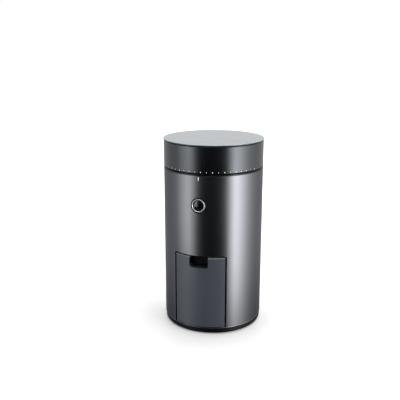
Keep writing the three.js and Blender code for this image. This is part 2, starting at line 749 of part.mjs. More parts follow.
function buttonCap() {
  return turned([
    [0, -12], [2.6, -12], [2.6, -4], [BUTTON_R, -4], [BUTTON_R, -1.4], [BUTTON_R - 1, -0.9],
    [BUTTON_R - 3.5, 0], [0, 0.4],
  ], MID);
}

function buttonHousing() {
  const outer = BUTTON_R + 2.8;
  const back = -12 - BUTTON_TRAVEL - 0.6;
  return turned([
    [3.4, back], [outer, back], [outer, -9 - FIT], [outer - 1.6, -9 - FIT],
    [outer - 1.6, back + 2], [3.4, back + 2],
  ], MID);
}

function buttonSwitch() {
  const front = -12 - BUTTON_TRAVEL - 0.9;
  return box(-6, 6, -3.2, 3.2, front - 7, front);
}

function controlBoard() {
  const x = BAY_W / 2 + WALL + 4;
  const board = box(x, x + 1.6, -24, 16, 46, 92);
  const relay = box(x + 1, x + 11, -4, 8, 70, 86);
  const capacitor = rod(5, x + 1, x + 13, SMALL).rotateY(Math.PI / 2).translate(0, -12, 56);
  const spacer = box(x - 3.6, x + 1, -7, -1, 50, 88);
  return join(board, relay, capacitor, spacer);
}

// ---------- the grinder ----------

function feet() {
  return postAngles().map((angle, i) => {
    const mesh = piece(`foot_${i + 1}`, foot(), RUBBER);
    mesh.position.set(...polar(BODY_R * 0.76, angle), 0);
    return mesh;
  });
}

function posts() {
  const tall = postAngles().map((angle, i) => {
    const mesh = piece(`deck_post_${i + 1}`, deckPost(), STEEL);
    mesh.position.set(...polar(POST_R, angle), 0);
    return mesh;
  });
  const rear = [45, 135].map((angle, i) => {
    const mesh = piece(`frame_post_${i + 1}`, framePost(), STEEL);
    mesh.position.set(...polar(FRAME_POST_R, angle), 0);
    return mesh;
  });
  return [...tall, ...rear];
}

function screws(prefix) {
  return screwPlaces().map(([x, y], i) => {
    const mesh = piece(`${prefix}_${i + 1}`, burrScrew(), STEEL);
    mesh.position.set(x, y, 0);
    return mesh;
  });
}

function housing() {
  return assembly(
    piece('body_shell', bodyShell(), ANODISED),
    piece('rim_trim', rimTrim(), GLOSS_BLACK),
    piece('pointer_mark', pointerMark(), WHITE),
    piece('base_tray', baseTray(), MATT_BLACK),
    piece('bottom_cover', bottomCover(), MATT_BLACK),
    ...feet(),
    piece('cord_bush', cordBush(), RUBBER),
    piece('bin_bay', binBay(), GLOSS_BLACK),
    piece('bay_magnet', bayMagnet(), STEEL),
    piece('gear_plate', gearPlate(), CAST_GREY),
    piece('chassis_plate', chassisPlate(), CAST_GREY),
    ...posts(),
    piece('burr_chamber', burrChamber(), MATT_BLACK),
    piece('grounds_duct', groundsDuct(), MATT_BLACK),
    piece('top_deck', topDeck(), GLOSS_BLACK),
    piece('detent_finger', detentFinger(), STEEL),
    piece('control_board', controlBoard(), CIRCUIT),
    piece('lower_bearing', bearing(LOWER_BEARING_Z), STEEL),
    piece('upper_bearing', bearing(UPPER_BEARING_Z), STEEL),
  );
}

function motor() {
  const group = assembly(
    piece('motor_can', motorCan(), CAST_GREY),
    piece('motor_end_cap', motorEndCap(), MATT_BLACK),
    piece('motor_shaft', motorShaft(), STEEL),
    piece('motor_pinion', motorPinion(), STEEL),
  );
  group.position.set(0, MOTOR_Y, 0);
  return group;
}

function rotor() {
  const burrSet = assembly(piece('lower_burr', burr(), STEEL), ...screws('lower_burr_screw'));
  burrSet.position.z = LOWER_BACK_Z;
  return assembly(
    piece('spindle', spindle(), STEEL),
    piece('drive_gear', driveGear(), NYLON),
    piece('lower_carrier', lowerCarrier(), CAST_GREY),
    piece('burr_nut', burrNut(), STEEL),
    burrSet,
  );
}

function lid() {
  const group = assembly(
    piece('lid_disc', lidDisc(), COVER_GREY),
    piece('lid_rim', lidRim(), GLOSS_BLACK),
  );
  group.position.z = HOPPER_H + FIT;
  return group;
}

function hopper() {
  const burrSet = assembly(piece('upper_burr', burr(), STEEL), ...screws('upper_burr_screw'));
  burrSet.position.z = BURR_BACK_Z;
  burrSet.rotation.x = Math.PI;
  const group = assembly(
    piece('hopper_bowl', hopperBowl(), MATT_BLACK),
    piece('hopper_hub', hopperHub(), MATT_BLACK),
    piece('thread_ring', threadRing(), CAST_GREY),
    piece('burr_sleeve', burrSleeve(), BARE_ALUMINIUM),
    burrSet,
    lid(),
  );
  group.position.z = HOPPER_Z;
  return group;
}

function bin() {
  const group = assembly(
    piece('bin_shell', binShell(), BIN_GREY),
    piece('bin_lid', binLid(), LID_GREY),
  );
  group.position.z = BIN_Z;
  return group;
}

function button() {
  const group = assembly(
    piece('button_bezel', buttonBezel(), GLOSS_BLACK),
    piece('button_ring', buttonRing(), CHROME),
    piece('button_cap', buttonCap(), GLOSS_BLACK),
    piece('button_housing', buttonHousing(), MATT_BLACK),
    piece('button_switch', buttonSwitch(), MATT_BLACK),
  );
  group.position.set(0, -BODY_R, BUTTON_Z);
  group.rotation.x = Math.PI / 2;
  return group;
}

const grinder = assembly(
  housing(),
  motor(),
  rotor(),
  piece('lift_ring', liftRing(), CAST_GREY),
  piece('adjusting_collar', adjustingCollar(), MATT_BLACK),
  hopper(),
  bin(),
  button(),
);

export default grinder;
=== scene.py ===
import math
import bmesh
import bpy
from mathutils import Matrix, Vector


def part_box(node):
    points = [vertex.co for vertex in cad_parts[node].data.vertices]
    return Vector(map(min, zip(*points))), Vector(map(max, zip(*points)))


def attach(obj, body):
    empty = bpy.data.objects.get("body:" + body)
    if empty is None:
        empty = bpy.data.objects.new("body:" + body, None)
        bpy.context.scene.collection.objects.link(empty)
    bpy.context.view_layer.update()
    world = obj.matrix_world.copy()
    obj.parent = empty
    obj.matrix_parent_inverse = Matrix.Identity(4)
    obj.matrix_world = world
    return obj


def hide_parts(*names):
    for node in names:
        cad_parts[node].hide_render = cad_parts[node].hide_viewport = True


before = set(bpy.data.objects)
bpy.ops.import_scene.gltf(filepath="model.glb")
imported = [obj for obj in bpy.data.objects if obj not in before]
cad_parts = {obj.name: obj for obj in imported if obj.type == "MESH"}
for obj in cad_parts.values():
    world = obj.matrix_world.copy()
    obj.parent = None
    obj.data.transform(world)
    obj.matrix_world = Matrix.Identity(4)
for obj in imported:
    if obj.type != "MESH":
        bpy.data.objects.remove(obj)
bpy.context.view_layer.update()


# ---------------------------------------------------------------------------
# Studio. A pale seamless floor, a broad softbox on the left, a narrow bright
# one on the right and a dim room in front, which leaves the middle of a
# glossy tube nearly black. The camera stands a little right and above.
mm = 0.001
scene = bpy.context.scene
scene.view_settings.view_transform = "Standard"

camera_data = bpy.data.cameras.new("studio_camera")
camera_data.lens = 53.226
camera_data.sensor_width = 36
camera = bpy.data.objects.new("studio_camera", camera_data)
scene.collection.objects.link(camera)
scene.camera = camera
camera.location = (0.2199, -0.7423, 0.3731)
camera_pitch = math.radians(15.009)
camera_heading = Vector((-0.3063, 0.9519, 0)).normalized()
gaze = camera_heading * math.cos(camera_pitch) - Vector((0, 0, math.sin(camera_pitch)))
camera.rotation_euler = gaze.to_track_quat("-Z", "Y").to_euler()


top_light = bpy.data.lights.new("top_softbox", "AREA")
top_light.shape = "RECTANGLE"
top_light.size = 1.6
top_light.size_y = 1.3
top_light.energy = 30
top_softbox = bpy.data.objects.new("top_softbox", top_light)
scene.collection.objects.link(top_softbox)
top_softbox.location = (0, 0.3, 1.6)
top_softbox.visible_camera = False

room = bpy.data.worlds.new("studio_room")
room.use_nodes = True
scene.world = room
room_tree = room.node_tree
room_shader = room_tree.nodes["Background"]


def room_math(operation, first, second=0.0):
    node = room_tree.nodes.new("ShaderNodeMath")
    node.operation = operation
    for slot, value in zip(node.inputs, (first, second)):
        if isinstance(value, bpy.types.NodeSocket):
            room_tree.links.new(value, slot)
        else:
            slot.default_value = value
    return node.outputs["Value"]


# How bright the softboxes are at each bearing: degrees from the front, positive to the right.
brightest = 10
walls_of_light = {
    -180: 0.6, -130: 0.62, -100: 0.75, -76: 1.0, -54: 3.0, -42: 4.5, -32: 3.2, -23: 0.5, -14: 0.03, 0: 0.015,
    34: 0.015, 46: 0.1, 57: 4.5, 66: 9.8, 75: 8, 87: 5.2, 100: 2.9, 113: 1.7, 130: 1.1, 150: 0.8, 180: 0.6,
}
room_way = room_tree.nodes.new("ShaderNodeSeparateXYZ")
room_tree.links.new(room_tree.nodes.new("ShaderNodeTexCoord").outputs["Generated"], room_way.inputs[0])
bearing = room_math("ARCTAN2", room_way.outputs["X"], room_math("MULTIPLY", room_way.outputs["Y"], -1.0))
room_ramp = room_tree.nodes.new("ShaderNodeValToRGB")
room_ramp.color_ramp.interpolation = "EASE"
room_tree.links.new(room_math("ADD", room_math("DIVIDE", bearing, 2 * math.pi), 0.5), room_ramp.inputs["Fac"])
stops = room_ramp.color_ramp.elements
while len(stops) < len(walls_of_light):
    stops.new(0.5)
for stop, degrees in zip(stops, walls_of_light):
    stop.position = degrees / 360 + 0.5
for stop, level in zip(stops, walls_of_light.values()):
    stop.color = (level / brightest, level / brightest, level / brightest, 1)


def room_fade(low, high, below, above):
    """A level that eases from one value to another between two heights; 1 is straight up."""
    node = room_tree.nodes.new("ShaderNodeMapRange")
    node.interpolation_type = "SMOOTHSTEP"
    for label, value in (("From Min", low), ("From Max", high), ("To Min", below), ("To Max", above)):
        node.inputs[label].default_value = value
    room_tree.links.new(room_way.outputs["Z"], node.inputs["Value"])
    return node.outputs["Result"]


# The softboxes fade out between these heights of a ray's direction, upwards into a faint ceiling.
softbox_top = (0.2, 0.55)
softbox_foot = (-0.54, -0.27)
ceiling_level = 0.35
room_lit = room_math("MULTIPLY", room_ramp.outputs["Color"], room_fade(*softbox_top, brightest, 0.0))
room_lit = room_math("MULTIPLY", room_lit, room_fade(*softbox_foot, 0.0, 1.0))
room_lit = room_math("ADD", room_lit, room_fade(*softbox_top, 0.0, ceiling_level))
room_seen = room_tree.nodes.new("ShaderNodeLightPath")
room_level = room_tree.nodes.new("ShaderNodeMix")
room_level.data_type = "FLOAT"
room_level.inputs["B"].default_value = 1.0
room_tree.links.new(room_seen.outputs["Is Camera Ray"], room_level.inputs["Factor"])
room_tree.links.new(room_lit, room_level.inputs["A"])
room_tree.links.new(room_level.outputs["Result"], room_shader.inputs["Strength"])
room_shader.inputs["Color"].default_value = (1, 1, 1, 1)


def new_finish(name, color, roughness, metallic=0.0, shine=0.5, edge=(1, 1, 1)):
    """A material with its Principled shader; returns the material, its node tree and the shader."""
    finish = bpy.data.materials.new(name)
    finish.use_nodes = True
    shader = finish.node_tree.nodes["Principled BSDF"]
    shader.inputs["Base Color"].default_value = (*color, 1)
    shader.inputs["Roughness"].default_value = roughness
    shader.inputs["Metallic"].default_value = metallic
    shader.inputs["Specular IOR Level"].default_value = shine
    shader.inputs["Specular Tint"].default_value = (*edge, 1)
    finish.diffuse_color = (*color, 1)
    return finish, finish.node_tree, shader


def new_object(name, shape):
    mesh = bpy.data.meshes.new(name)
    bmesh.ops.recalc_face_normals(shape, faces=shape.faces)
    shape.to_mesh(mesh)
    shape.free()
    piece = bpy.data.objects.new(name, mesh)
    scene.collection.objects.link(piece)
    return piece


# The floor is pale, with a painted glow in its emission that brightens it to white away from the object.
# Glossy walls look past it at the dim room.
floor_shape = bmesh.new()
bmesh.ops.create_grid(floor_shape, x_segments=8, y_segments=8, size=40)
studio_floor = new_object("studio_floor", floor_shape)
studio_floor.visible_glossy = False
studio_floor.visible_shadow = False
floor_paint, floor_tree, floor_shader = new_finish("pale_floor", (0.88, 0.88, 0.885), 0.3)
floor_mottle = floor_tree.nodes.new("ShaderNodeTexNoise")
floor_mottle.inputs["Scale"].default_value = 3
floor_range = floor_tree.nodes.new("ShaderNodeMapRange")
floor_range.inputs["To Min"].default_value = 0.24
floor_range.inputs["To Max"].default_value = 0.34
floor_tree.links.new(floor_mottle.outputs["Fac"], floor_range.inputs["Value"])
floor_tree.links.new(floor_range.outputs["Result"], floor_shader.inputs["Roughness"])
floor_far = floor_tree.nodes.new("ShaderNodeVectorMath")
floor_far.operation = "LENGTH"
floor_fade = floor_tree.nodes.new("ShaderNodeMapRange")
floor_fade.interpolation_type = "SMOOTHSTEP"
floor_fade.inputs["From Min"].default_value = 0.12
floor_fade.inputs["From Max"].default_value = 0.9
# Painted light: the floor's emission glows dimly near the object and white further out.
floor_glow = floor_tree.nodes.new("ShaderNodeMix")
floor_glow.data_type = "RGBA"
floor_glow.inputs["A"].default_value = (0.14, 0.14, 0.14, 1)
floor_glow.inputs["B"].default_value = (0.9, 0.9, 0.9, 1)
floor_place = floor_tree.nodes.new("ShaderNodeTexCoord")
floor_tree.links.new(floor_place.outputs["Object"], floor_far.inputs[0])
floor_tree.links.new(floor_far.outputs["Value"], floor_fade.inputs["Value"])
floor_tree.links.new(floor_fade.outputs["Result"], floor_glow.inputs["Factor"])
floor_tree.links.new(floor_glow.outputs["Result"], floor_shader.inputs["Emission Color"])
floor_shader.inputs["Emission Strength"].default_value = 1.0
studio_floor.data.materials.append(floor_paint)


# ---------------------------------------------------------------------------
# Base. A black moulded tray closes the foot of the body; a flat cover is
# clipped into its underside and carries four rubber feet. The tray's spigot
# stands up inside the metal tube and stops either side of the bin bay.
def new_group(name, inputs, outputs):
    """Shader node group with named float inputs (name: default) and float outputs."""
    group = bpy.data.node_groups.new(name, "ShaderNodeTree")
    for label, value in inputs.items():
        socket = group.interface.new_socket(label, in_out="INPUT", socket_type="NodeSocketFloat")
        socket.default_value = value
    for label in outputs:
        group.interface.new_socket(label, in_out="OUTPUT", socket_type="NodeSocketFloat")
    return group, group.nodes.new("NodeGroupInput"), group.nodes.new("NodeGroupOutput")


def mapped(tree, source, low, high, from_low=0.0, from_high=1.0):
    """A value or output mapped from one range to another; low and high may be outputs."""
    node = tree.nodes.new("ShaderNodeMapRange")
    node.inputs["From Min"].default_value = from_low
    node.inputs["From Max"].default_value = from_high
    tree.links.new(source, node.inputs["Value"])
    for label, value in (("To Min", low), ("To Max", high)):
        if isinstance(value, bpy.types.NodeSocket):
            tree.links.new(value, node.inputs[label])
        else:
            node.inputs[label].default_value = value
    return node.outputs["Result"]


def computed(tree, operation, *values):
    node = tree.nodes.new("ShaderNodeMath")
    node.operation = operation
    for slot, value in zip(node.inputs, values):
        if isinstance(value, bpy.types.NodeSocket):
            tree.links.new(value, slot)
        else:
            slot.default_value = value
    return node.outputs["Value"]


# Spark-eroded skin of a moulding: a fine even grain, with the gloss drifting a little over the part.
skin_group, skin_in, skin_out = new_group(
    "moulded_skin", {"Grain": 2200.0, "Smoothest": 0.4, "Roughest": 0.5}, ["Roughness", "Height", "Drift"]
)
skin_place = skin_group.nodes.new("ShaderNodeTexCoord").outputs["Object"]
skin_grain = skin_group.nodes.new("ShaderNodeTexNoise")
skin_grain.inputs["Detail"].default_value = 2
skin_drift = skin_group.nodes.new("ShaderNodeTexNoise")
skin_drift.inputs["Scale"].default_value = 28
skin_drift.inputs["Detail"].default_value = 1
skin_group.links.new(skin_place, skin_grain.inputs["Vector"])
skin_group.links.new(skin_in.outputs["Grain"], skin_grain.inputs["Scale"])
skin_group.links.new(skin_place, skin_drift.inputs["Vector"])
skin_rough = mapped(
    skin_group, skin_drift.outputs["Fac"], skin_in.outputs["Smoothest"], skin_in.outputs["Roughest"], 0.3, 0.7
)
skin_group.links.new(skin_rough, skin_out.inputs["Roughness"])
skin_group.links.new(skin_grain.outputs["Fac"], skin_out.inputs["Height"])
skin_group.links.new(skin_drift.outputs["Fac"], skin_out.inputs["Drift"])

# Handling wear: a mask along outer edges, broken up so that it is never an even line.
wear_group, wear_in, wear_out = new_group("edge_wear", {"Amount": 0.5}, ["Mask"])
wear_round = wear_group.nodes.new("ShaderNodeBevel")
wear_round.samples = 4
wear_round.inputs["Radius"].default_value = 0.5 * mm
wear_turn = wear_group.nodes.new("ShaderNodeVectorMath")
wear_turn.operation = "DOT_PRODUCT"
wear_group.links.new(wear_round.outputs["Normal"], wear_turn.inputs[0])
wear_surface = wear_group.nodes.new("ShaderNodeNewGeometry")
wear_group.links.new(wear_surface.outputs["Normal"], wear_turn.inputs[1])
wear_patch = wear_group.nodes.new("ShaderNodeTexNoise")
wear_patch.inputs["Scale"].default_value = 90
wear_place = wear_group.nodes.new("ShaderNodeTexCoord")
wear_group.links.new(wear_place.outputs["Object"], wear_patch.inputs["Vector"])
wear_edge = mapped(wear_group, wear_turn.outputs["Value"], 1.0, 0.0, 0.75, 0.985)
wear_breaks = mapped(wear_group, wear_patch.outputs["Fac"], 0.2, 1.0, 0.3, 0.7)
wear_mix = computed(wear_group, "MULTIPLY", wear_edge, wear_breaks)
wear_mask = computed(wear_group, "MULTIPLY", wear_mix, wear_in.outputs["Amount"])
wear_group.links.new(wear_mask, wear_out.inputs["Mask"])


def group_node(tree, group, **values):
    node = tree.nodes.new("ShaderNodeGroup")
    node.node_tree = group
    for label, value in values.items():
        node.inputs[label].default_value = value
    return node


def bumped(tree, shader, height, depth):
    """Joins a height to the shader's normal; depth is the grain's real depth in metres."""
    bump = tree.nodes.new("ShaderNodeBump")
    bump.inputs["Strength"].default_value = 1.0
    bump.inputs["Distance"].default_value = depth
    tree.links.new(height, bump.inputs["Height"])
    tree.links.new(bump.outputs["Normal"], shader.inputs["Normal"])


def two_tone(tree, shader, mask, first, second):
    mix = tree.nodes.new("ShaderNodeMix")
    mix.data_type = "RGBA"
    mix.inputs["A"].default_value = (*first, 1)
    mix.inputs["B"].default_value = (*second, 1)
    tree.links.new(mask, mix.inputs["Factor"])
    tree.links.new(mix.outputs["Result"], shader.inputs["Base Color"])


def moulded(name, color, worn, smoothest, roughest, grain=2200.0, depth=2e-6, wear=0.5, **look):
    """Plastic moulding: even grain, drifting gloss and edges a shade lighter from handling."""
    finish, tree, shader = new_finish(name, color, roughest, **look)
    skin = group_node(tree, skin_group, Grain=grain, Smoothest=smoothest, Roughest=roughest)
    edges = group_node(tree, wear_group, Amount=wear)
    tree.links.new(skin.outputs["Roughness"], shader.inputs["Roughness"])
    two_tone(tree, shader, edges.outputs["Mask"], color, worn)
    bumped(tree, shader, skin.outputs["Height"], depth)
    return finish


def arc(centre, radius, start, end, steps=10):
    """Points along a round stretch, from start to end in degrees."""
    turns = [math.radians(start + (end - start) * i / steps) for i in range(steps + 1)]
    return [Vector((centre[0] + radius * math.cos(t), centre[1] + radius * math.sin(t))) for t in turns]


def eased(corners, steps=4):
    """Closed outline of (x, y, ease) corners, each rounded to its own radius."""
    outline = []
    for i, (x, y, ease) in enumerate(corners):
        corner = Vector((x, y))
        if ease <= 0:
            outline.append(corner)
            continue
        back = (Vector(corners[i - 1][:2]) - corner).normalized()
        ahead = (Vector(corners[(i + 1) % len(corners)][:2]) - corner).normalized()
        half = back.angle(ahead) / 2
        middle = corner + (back + ahead).normalized() * ease / math.sin(half)
        first = corner + back * ease / math.tan(half) - middle
        sweep = first.angle_signed(corner + ahead * ease / math.tan(half) - middle)
        for step in range(steps + 1):
            turn = -sweep * step / steps
            outline.append(middle + Matrix.Rotation(turn, 2) @ first)
    return outline


def spun(name, outline, around=192):
    """Solid of revolution about Z from a closed outline of (radius, height) points."""
    shape = bmesh.new()
    rings = []
    for radius, height in outline:
        if radius < 1e-7:
            rings.append([shape.verts.new((0, 0, height))] * around)
            continue
        turns = [2 * math.pi * i / around for i in range(around)]
        rings.append([shape.verts.new((radius * math.cos(t), radius * math.sin(t), height)) for t in turns])
    for near, far in zip(rings, rings[1:] + rings[:1]):
        for i in range(around):
            j = (i + 1) % around
            corners = list(dict.fromkeys((near[i], near[j], far[j], far[i])))
            if len(corners) > 2:
                shape.faces.new(corners)
    return new_object(name, shape)


def prism(name, outline, low, high):
    """Upright block of a closed outline, between two heights."""
    shape = bmesh.new()
    bottom = [shape.verts.new((p[0], p[1], low)) for p in outline]
    top = [shape.verts.new((p[0], p[1], high)) for p in outline]
    shape.faces.new(bottom)
    shape.faces.new(top)
    for i in range(len(outline)):
        j = (i + 1) % len(outline)
        shape.faces.new((bottom[i], bottom[j], top[j], top[i]))
    return new_object(name, shape)


def block(name, low, high):
    plan = [(low[0], low[1]), (high[0], low[1]), (high[0], high[1]), (low[0], high[1])]
    return prism(name, plan, low[2], high[2])


def combined(piece, operation, *others):
    """Cuts the others from the piece, or joins them to it, for good."""
    for other in others:
        step = piece.modifiers.new("combine", "BOOLEAN")
        step.operation = operation
        step.solver = "EXACT"
        step.object = other
    depsgraph = bpy.context.evaluated_depsgraph_get()
    result = bpy.data.meshes.new_from_object(piece.evaluated_get(depsgraph))
    piece.modifiers.clear()
    piece.data = result
    for other in others:
        bpy.data.objects.remove(other)
    return piece


def surfaced(piece, finish, ease=0.0, steps=2):
    """Gives a piece its finish, softened edges if ease is set, and smooth shading up to its real corners."""
    piece.data.materials.clear()
    piece.data.materials.append(finish)
    piece.data.shade_smooth()
    if ease > 0:
        bevel = piece.modifiers.new("eased_edges", "BEVEL")
        bevel.width = ease
        bevel.segments = steps
        bevel.limit_method = "ANGLE"
        bevel.angle_limit = math.radians(40)
        bevel.harden_normals = True
    else:
        piece.data.set_sharp_from_angle(angle=math.radians(40))
        piece.modifiers.new("even_shading", "WEIGHTED_NORMAL").keep_sharp = True
    return piece


def fitted(piece, body, slot, *nodes):
    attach(piece, body)
    if nodes:
        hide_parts(*nodes)
    return piece


tray_low, tray_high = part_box("base_tray")
tray_r = tray_high.x
shell_low, shell_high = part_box("body_shell")
body_r = shell_high.x
band_top = shell_low.z - 0.3 * mm
bay_low, bay_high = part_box("bin_bay")
satin_black = moulded(
    "satin_black_moulding", (0.003, 0.0031, 0.0035), (0.012, 0.012, 0.013), 0.24, 0.32, edge=(0.88, 0.93, 1)
)

cover_recess_r = 61.2 * mm
spigot_in = 61.3 * mm
spigot_out = 63.1 * mm
tray_under = 3.2 * mm
tray_floor = 7.2 * mm
bay_play = 0.6 * mm
base_tray = spun("base_band", eased([
    (cover_recess_r, tray_low.z, 0.2 * mm), (tray_r - 1.2 * mm, tray_low.z, 1.0 * mm),
    (tray_r - 0.2 * mm, tray_low.z + 1.4 * mm, 1.2 * mm), (tray_r, band_top, 0.35 * mm),
    (spigot_out, band_top, 0), (spigot_out, tray_high.z, 0.3 * mm), (spigot_in, tray_high.z, 0.3 * mm),
    (spigot_in, tray_floor, 0), (0, tray_floor, 0), (0, tray_under, 0), (cover_recess_r, tray_under, 0),
]))
bay_room = block(
    "bay_room", (bay_low.x - bay_play, -0.1, tray_floor), (bay_high.x + bay_play, bay_high.y + bay_play, 0.03)
)
combined(base_tray, "DIFFERENCE", bay_room)
base_black = moulded(
    "base_black_moulding", (0.002, 0.0021, 0.0025), (0.009, 0.009, 0.01), 0.3, 0.38, shine=0.16,
)
fitted(surfaced(base_tray, base_black), "housing", "matt_black", "base_tray")

cover_low, cover_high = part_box("bottom_cover")
cover_r = cover_high.x
cover_groove_r = 30 * mm
cover_groove_top = cover_low.z + 0.5 * mm
bottom_cover = spun("bottom_cover_plate", eased([
    (0, cover_low.z, 0), (cover_groove_r, cover_low.z, 0),
    (cover_groove_r + 0.5 * mm, cover_groove_top, 0.2 * mm),
    (cover_groove_r + 2.5 * mm, cover_groove_top, 0.2 * mm), (cover_groove_r + 3 * mm, cover_low.z, 0),
    (cover_r, cover_low.z, 0.4 * mm), (cover_r, cover_high.z, 0), (0, cover_high.z, 0),
]))
fitted(surfaced(bottom_cover, satin_black), "housing", "matt_black", "bottom_cover")

rubber = moulded("foot_rubber", (0.012, 0.012, 0.012), (0.03, 0.03, 0.03), 0.75, 0.9, grain=900.0, depth=2e-5)
for number in range(1, 5):
    foot_node = f"foot_{number}"
    foot_low, foot_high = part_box(foot_node)
    foot_r = (foot_high.x - foot_low.x) / 2
    foot = spun(f"rubber_{foot_node}", eased([
        (0, foot_low.z, 0), (foot_r - 2 * mm, foot_low.z, 0),
        (foot_r - 1.4 * mm, foot_low.z + 0.2 * mm, 0.1 * mm), (foot_r - 0.6 * mm, foot_low.z, 0.2 * mm),
        (foot_r, foot_high.z, 0.1 * mm), (0, foot_high.z, 0),
    ]), around=64)
    foot_place = ((foot_low.x + foot_high.x) / 2, (foot_low.y + foot_high.y) / 2, 0)
    foot.data.transform(Matrix.Translation(foot_place))
    fitted(surfaced(foot, rubber), "housing", "rubber", foot_node)


# ---------------------------------------------------------------------------
# Body tube. Drawn aluminium, blasted very fine and anodised black, with the
# bay mouth, button hole and cord hole milled through it. The foot of the
# tube is turned bright. The index line under the rim is printed in white.
anodised_color = (0.1, 0.103, 0.111)
anodised_worn = (0.3, 0.305, 0.315)
anodised, anodised_tree, anodised_shader = new_finish(
    "black_anodised", anodised_color, 0.28, 1.0, edge=(0.75, 0.77, 0.8)
)
anodised_skin = group_node(anodised_tree, skin_group, Grain=3800.0, Smoothest=0.278, Roughest=0.29)
anodised_edges = group_node(anodised_tree, wear_group, Amount=0.5)
anodised_tree.links.new(anodised_skin.outputs["Roughness"], anodised_shader.inputs["Roughness"])
two_tone(anodised_tree, anodised_shader, anodised_edges.outputs["Mask"], anodised_color, anodised_worn)
bumped(anodised_tree, anodised_shader, anodised_skin.outputs["Height"], 5e-7)

# Lathe marks: fine lines that run round the axis, on faces and on walls alike.
lathe_group, lathe_in, lathe_out = new_group(
    "lathe_marks", {"Lines": 3000.0, "Streak": 2.0}, ["Height", "Streaks"]
)
lathe_axes = lathe_group.nodes.new("ShaderNodeSeparateXYZ")
lathe_place = lathe_group.nodes.new("ShaderNodeTexCoord")
lathe_group.links.new(lathe_place.outputs["Object"], lathe_axes.inputs[0])
lathe_x = lathe_axes.outputs["X"]
lathe_y = lathe_axes.outputs["Y"]
lathe_xx = computed(lathe_group, "MULTIPLY", lathe_x, lathe_x)
lathe_yy = computed(lathe_group, "MULTIPLY", lathe_y, lathe_y)
lathe_r = computed(lathe_group, "SQRT", computed(lathe_group, "ADD", lathe_xx, lathe_yy))
lathe_point = lathe_group.nodes.new("ShaderNodeCombineXYZ")
for label, side in (("X", lathe_x), ("Y", lathe_y)):
    lathe_turn = computed(lathe_group, "DIVIDE", side, computed(lathe_group, "MAXIMUM", lathe_r, 1e-5))
    lathe_streak = computed(lathe_group, "MULTIPLY", lathe_turn, lathe_in.outputs["Streak"])
    lathe_group.links.new(lathe_streak, lathe_point.inputs[label])
lathe_run = computed(lathe_group, "ADD", lathe_axes.outputs["Z"], lathe_r)
lathe_line = computed(lathe_group, "MULTIPLY", lathe_run, lathe_in.outputs["Lines"])
lathe_group.links.new(lathe_line, lathe_point.inputs["Z"])
lathe_noise = lathe_group.nodes.new("ShaderNodeTexNoise")
lathe_noise.inputs["Scale"].default_value = 1.0
lathe_noise.inputs["Detail"].default_value = 3
lathe_group.links.new(lathe_point.outputs["Vector"], lathe_noise.inputs["Vector"])
lathe_group.links.new(lathe_noise.outputs["Fac"], lathe_out.inputs["Height"])
lathe_bands = mapped(lathe_group, lathe_noise.outputs["Fac"], 0.0, 1.0, 0.35, 0.65)
lathe_group.links.new(lathe_bands, lathe_out.inputs["Streaks"])


def machined(name, color, shade, roughness, lines=3000.0, depth=2e-6, streak=2.0):
    """Bare turned metal with lathe marks."""
    finish, tree, shader = new_finish(name, color, roughness, 1.0)
    marks = group_node(tree, lathe_group, Lines=lines, Streak=streak)
    two_tone(tree, shader, marks.outputs["Streaks"], shade, color)
    streaked = mapped(tree, marks.outputs["Streaks"], roughness - 0.05, roughness + 0.06)
    tree.links.new(streaked, shader.inputs["Roughness"])
    bumped(tree, shader, marks.outputs["Height"], depth)
    return finish


bright_turned = machined("bright_turned_edge", (0.3, 0.305, 0.31), (0.24, 0.245, 0.25), 0.36)

tube_wall = 2.5 * mm
bright_edge = 0.9 * mm
bay_half = (bay_high.x - bay_low.x) / 2 - tube_wall
bay_floor = 9.0 * mm
bay_top = bay_high.z - tube_wall
bezel_low, bezel_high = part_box("button_bezel")
button_centre = (bezel_low.z + bezel_high.z) / 2
button_hole_r = 10.2 * mm
bush_low, bush_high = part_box("cord_bush")
bush_centre = (bush_low.z + bush_high.z) / 2
bush_hole_r = 6.9 * mm


def sideways(piece, height, reach):
    """Turns a piece made along +Z so that it points to -Y, at a height, from a distance out."""
    piece.data.transform(Matrix.Translation((0, reach, height)) @ Matrix.Rotation(math.pi / 2, 4, "X"))
    return piece


body_shell = spun("body_tube", eased([
    (body_r - tube_wall, shell_low.z, 0.2 * mm), (body_r, shell_low.z, 0.3 * mm),
    (body_r, shell_low.z + bright_edge, 0), (body_r, shell_high.z, 0.2 * mm),
    (body_r - tube_wall, shell_high.z, 0.2 * mm),
]), around=256)
mouth_outline = eased([
    (-bay_half, bay_floor, 0.3 * mm), (bay_half, bay_floor, 0.3 * mm),
    (bay_half, bay_top, 3 * mm), (-bay_half, bay_top, 3 * mm),
], steps=6)
bay_mouth = sideways(prism("bay_mouth", mouth_outline, 0, 0.1), 0, 0)
button_hole = spun("button_hole", [(0, 0), (button_hole_r, 0), (button_hole_r, 0.1), (0, 0.1)], 96)
sideways(button_hole, button_centre, 0)
bush_hole = spun("bush_hole", [(0, 0), (bush_hole_r, 0), (bush_hole_r, 0.1), (0, 0.1)], 64)
sideways(bush_hole, bush_centre, 0.12)
combined(body_shell, "DIFFERENCE", bay_mouth, button_hole, bush_hole)
surfaced(body_shell, anodised, ease=0.3 * mm)
body_shell.modifiers["eased_edges"].angle_limit = math.radians(60)
body_shell.data.materials.append(bright_turned)
for face in body_shell.data.polygons:
    outside = math.hypot(face.center.x, face.center.y) > body_r - 0.6 * mm
    if face.center.z < shell_low.z + bright_edge and outside:
        face.material_index = 1
fitted(body_shell, "housing", "anodised_black", "body_shell")


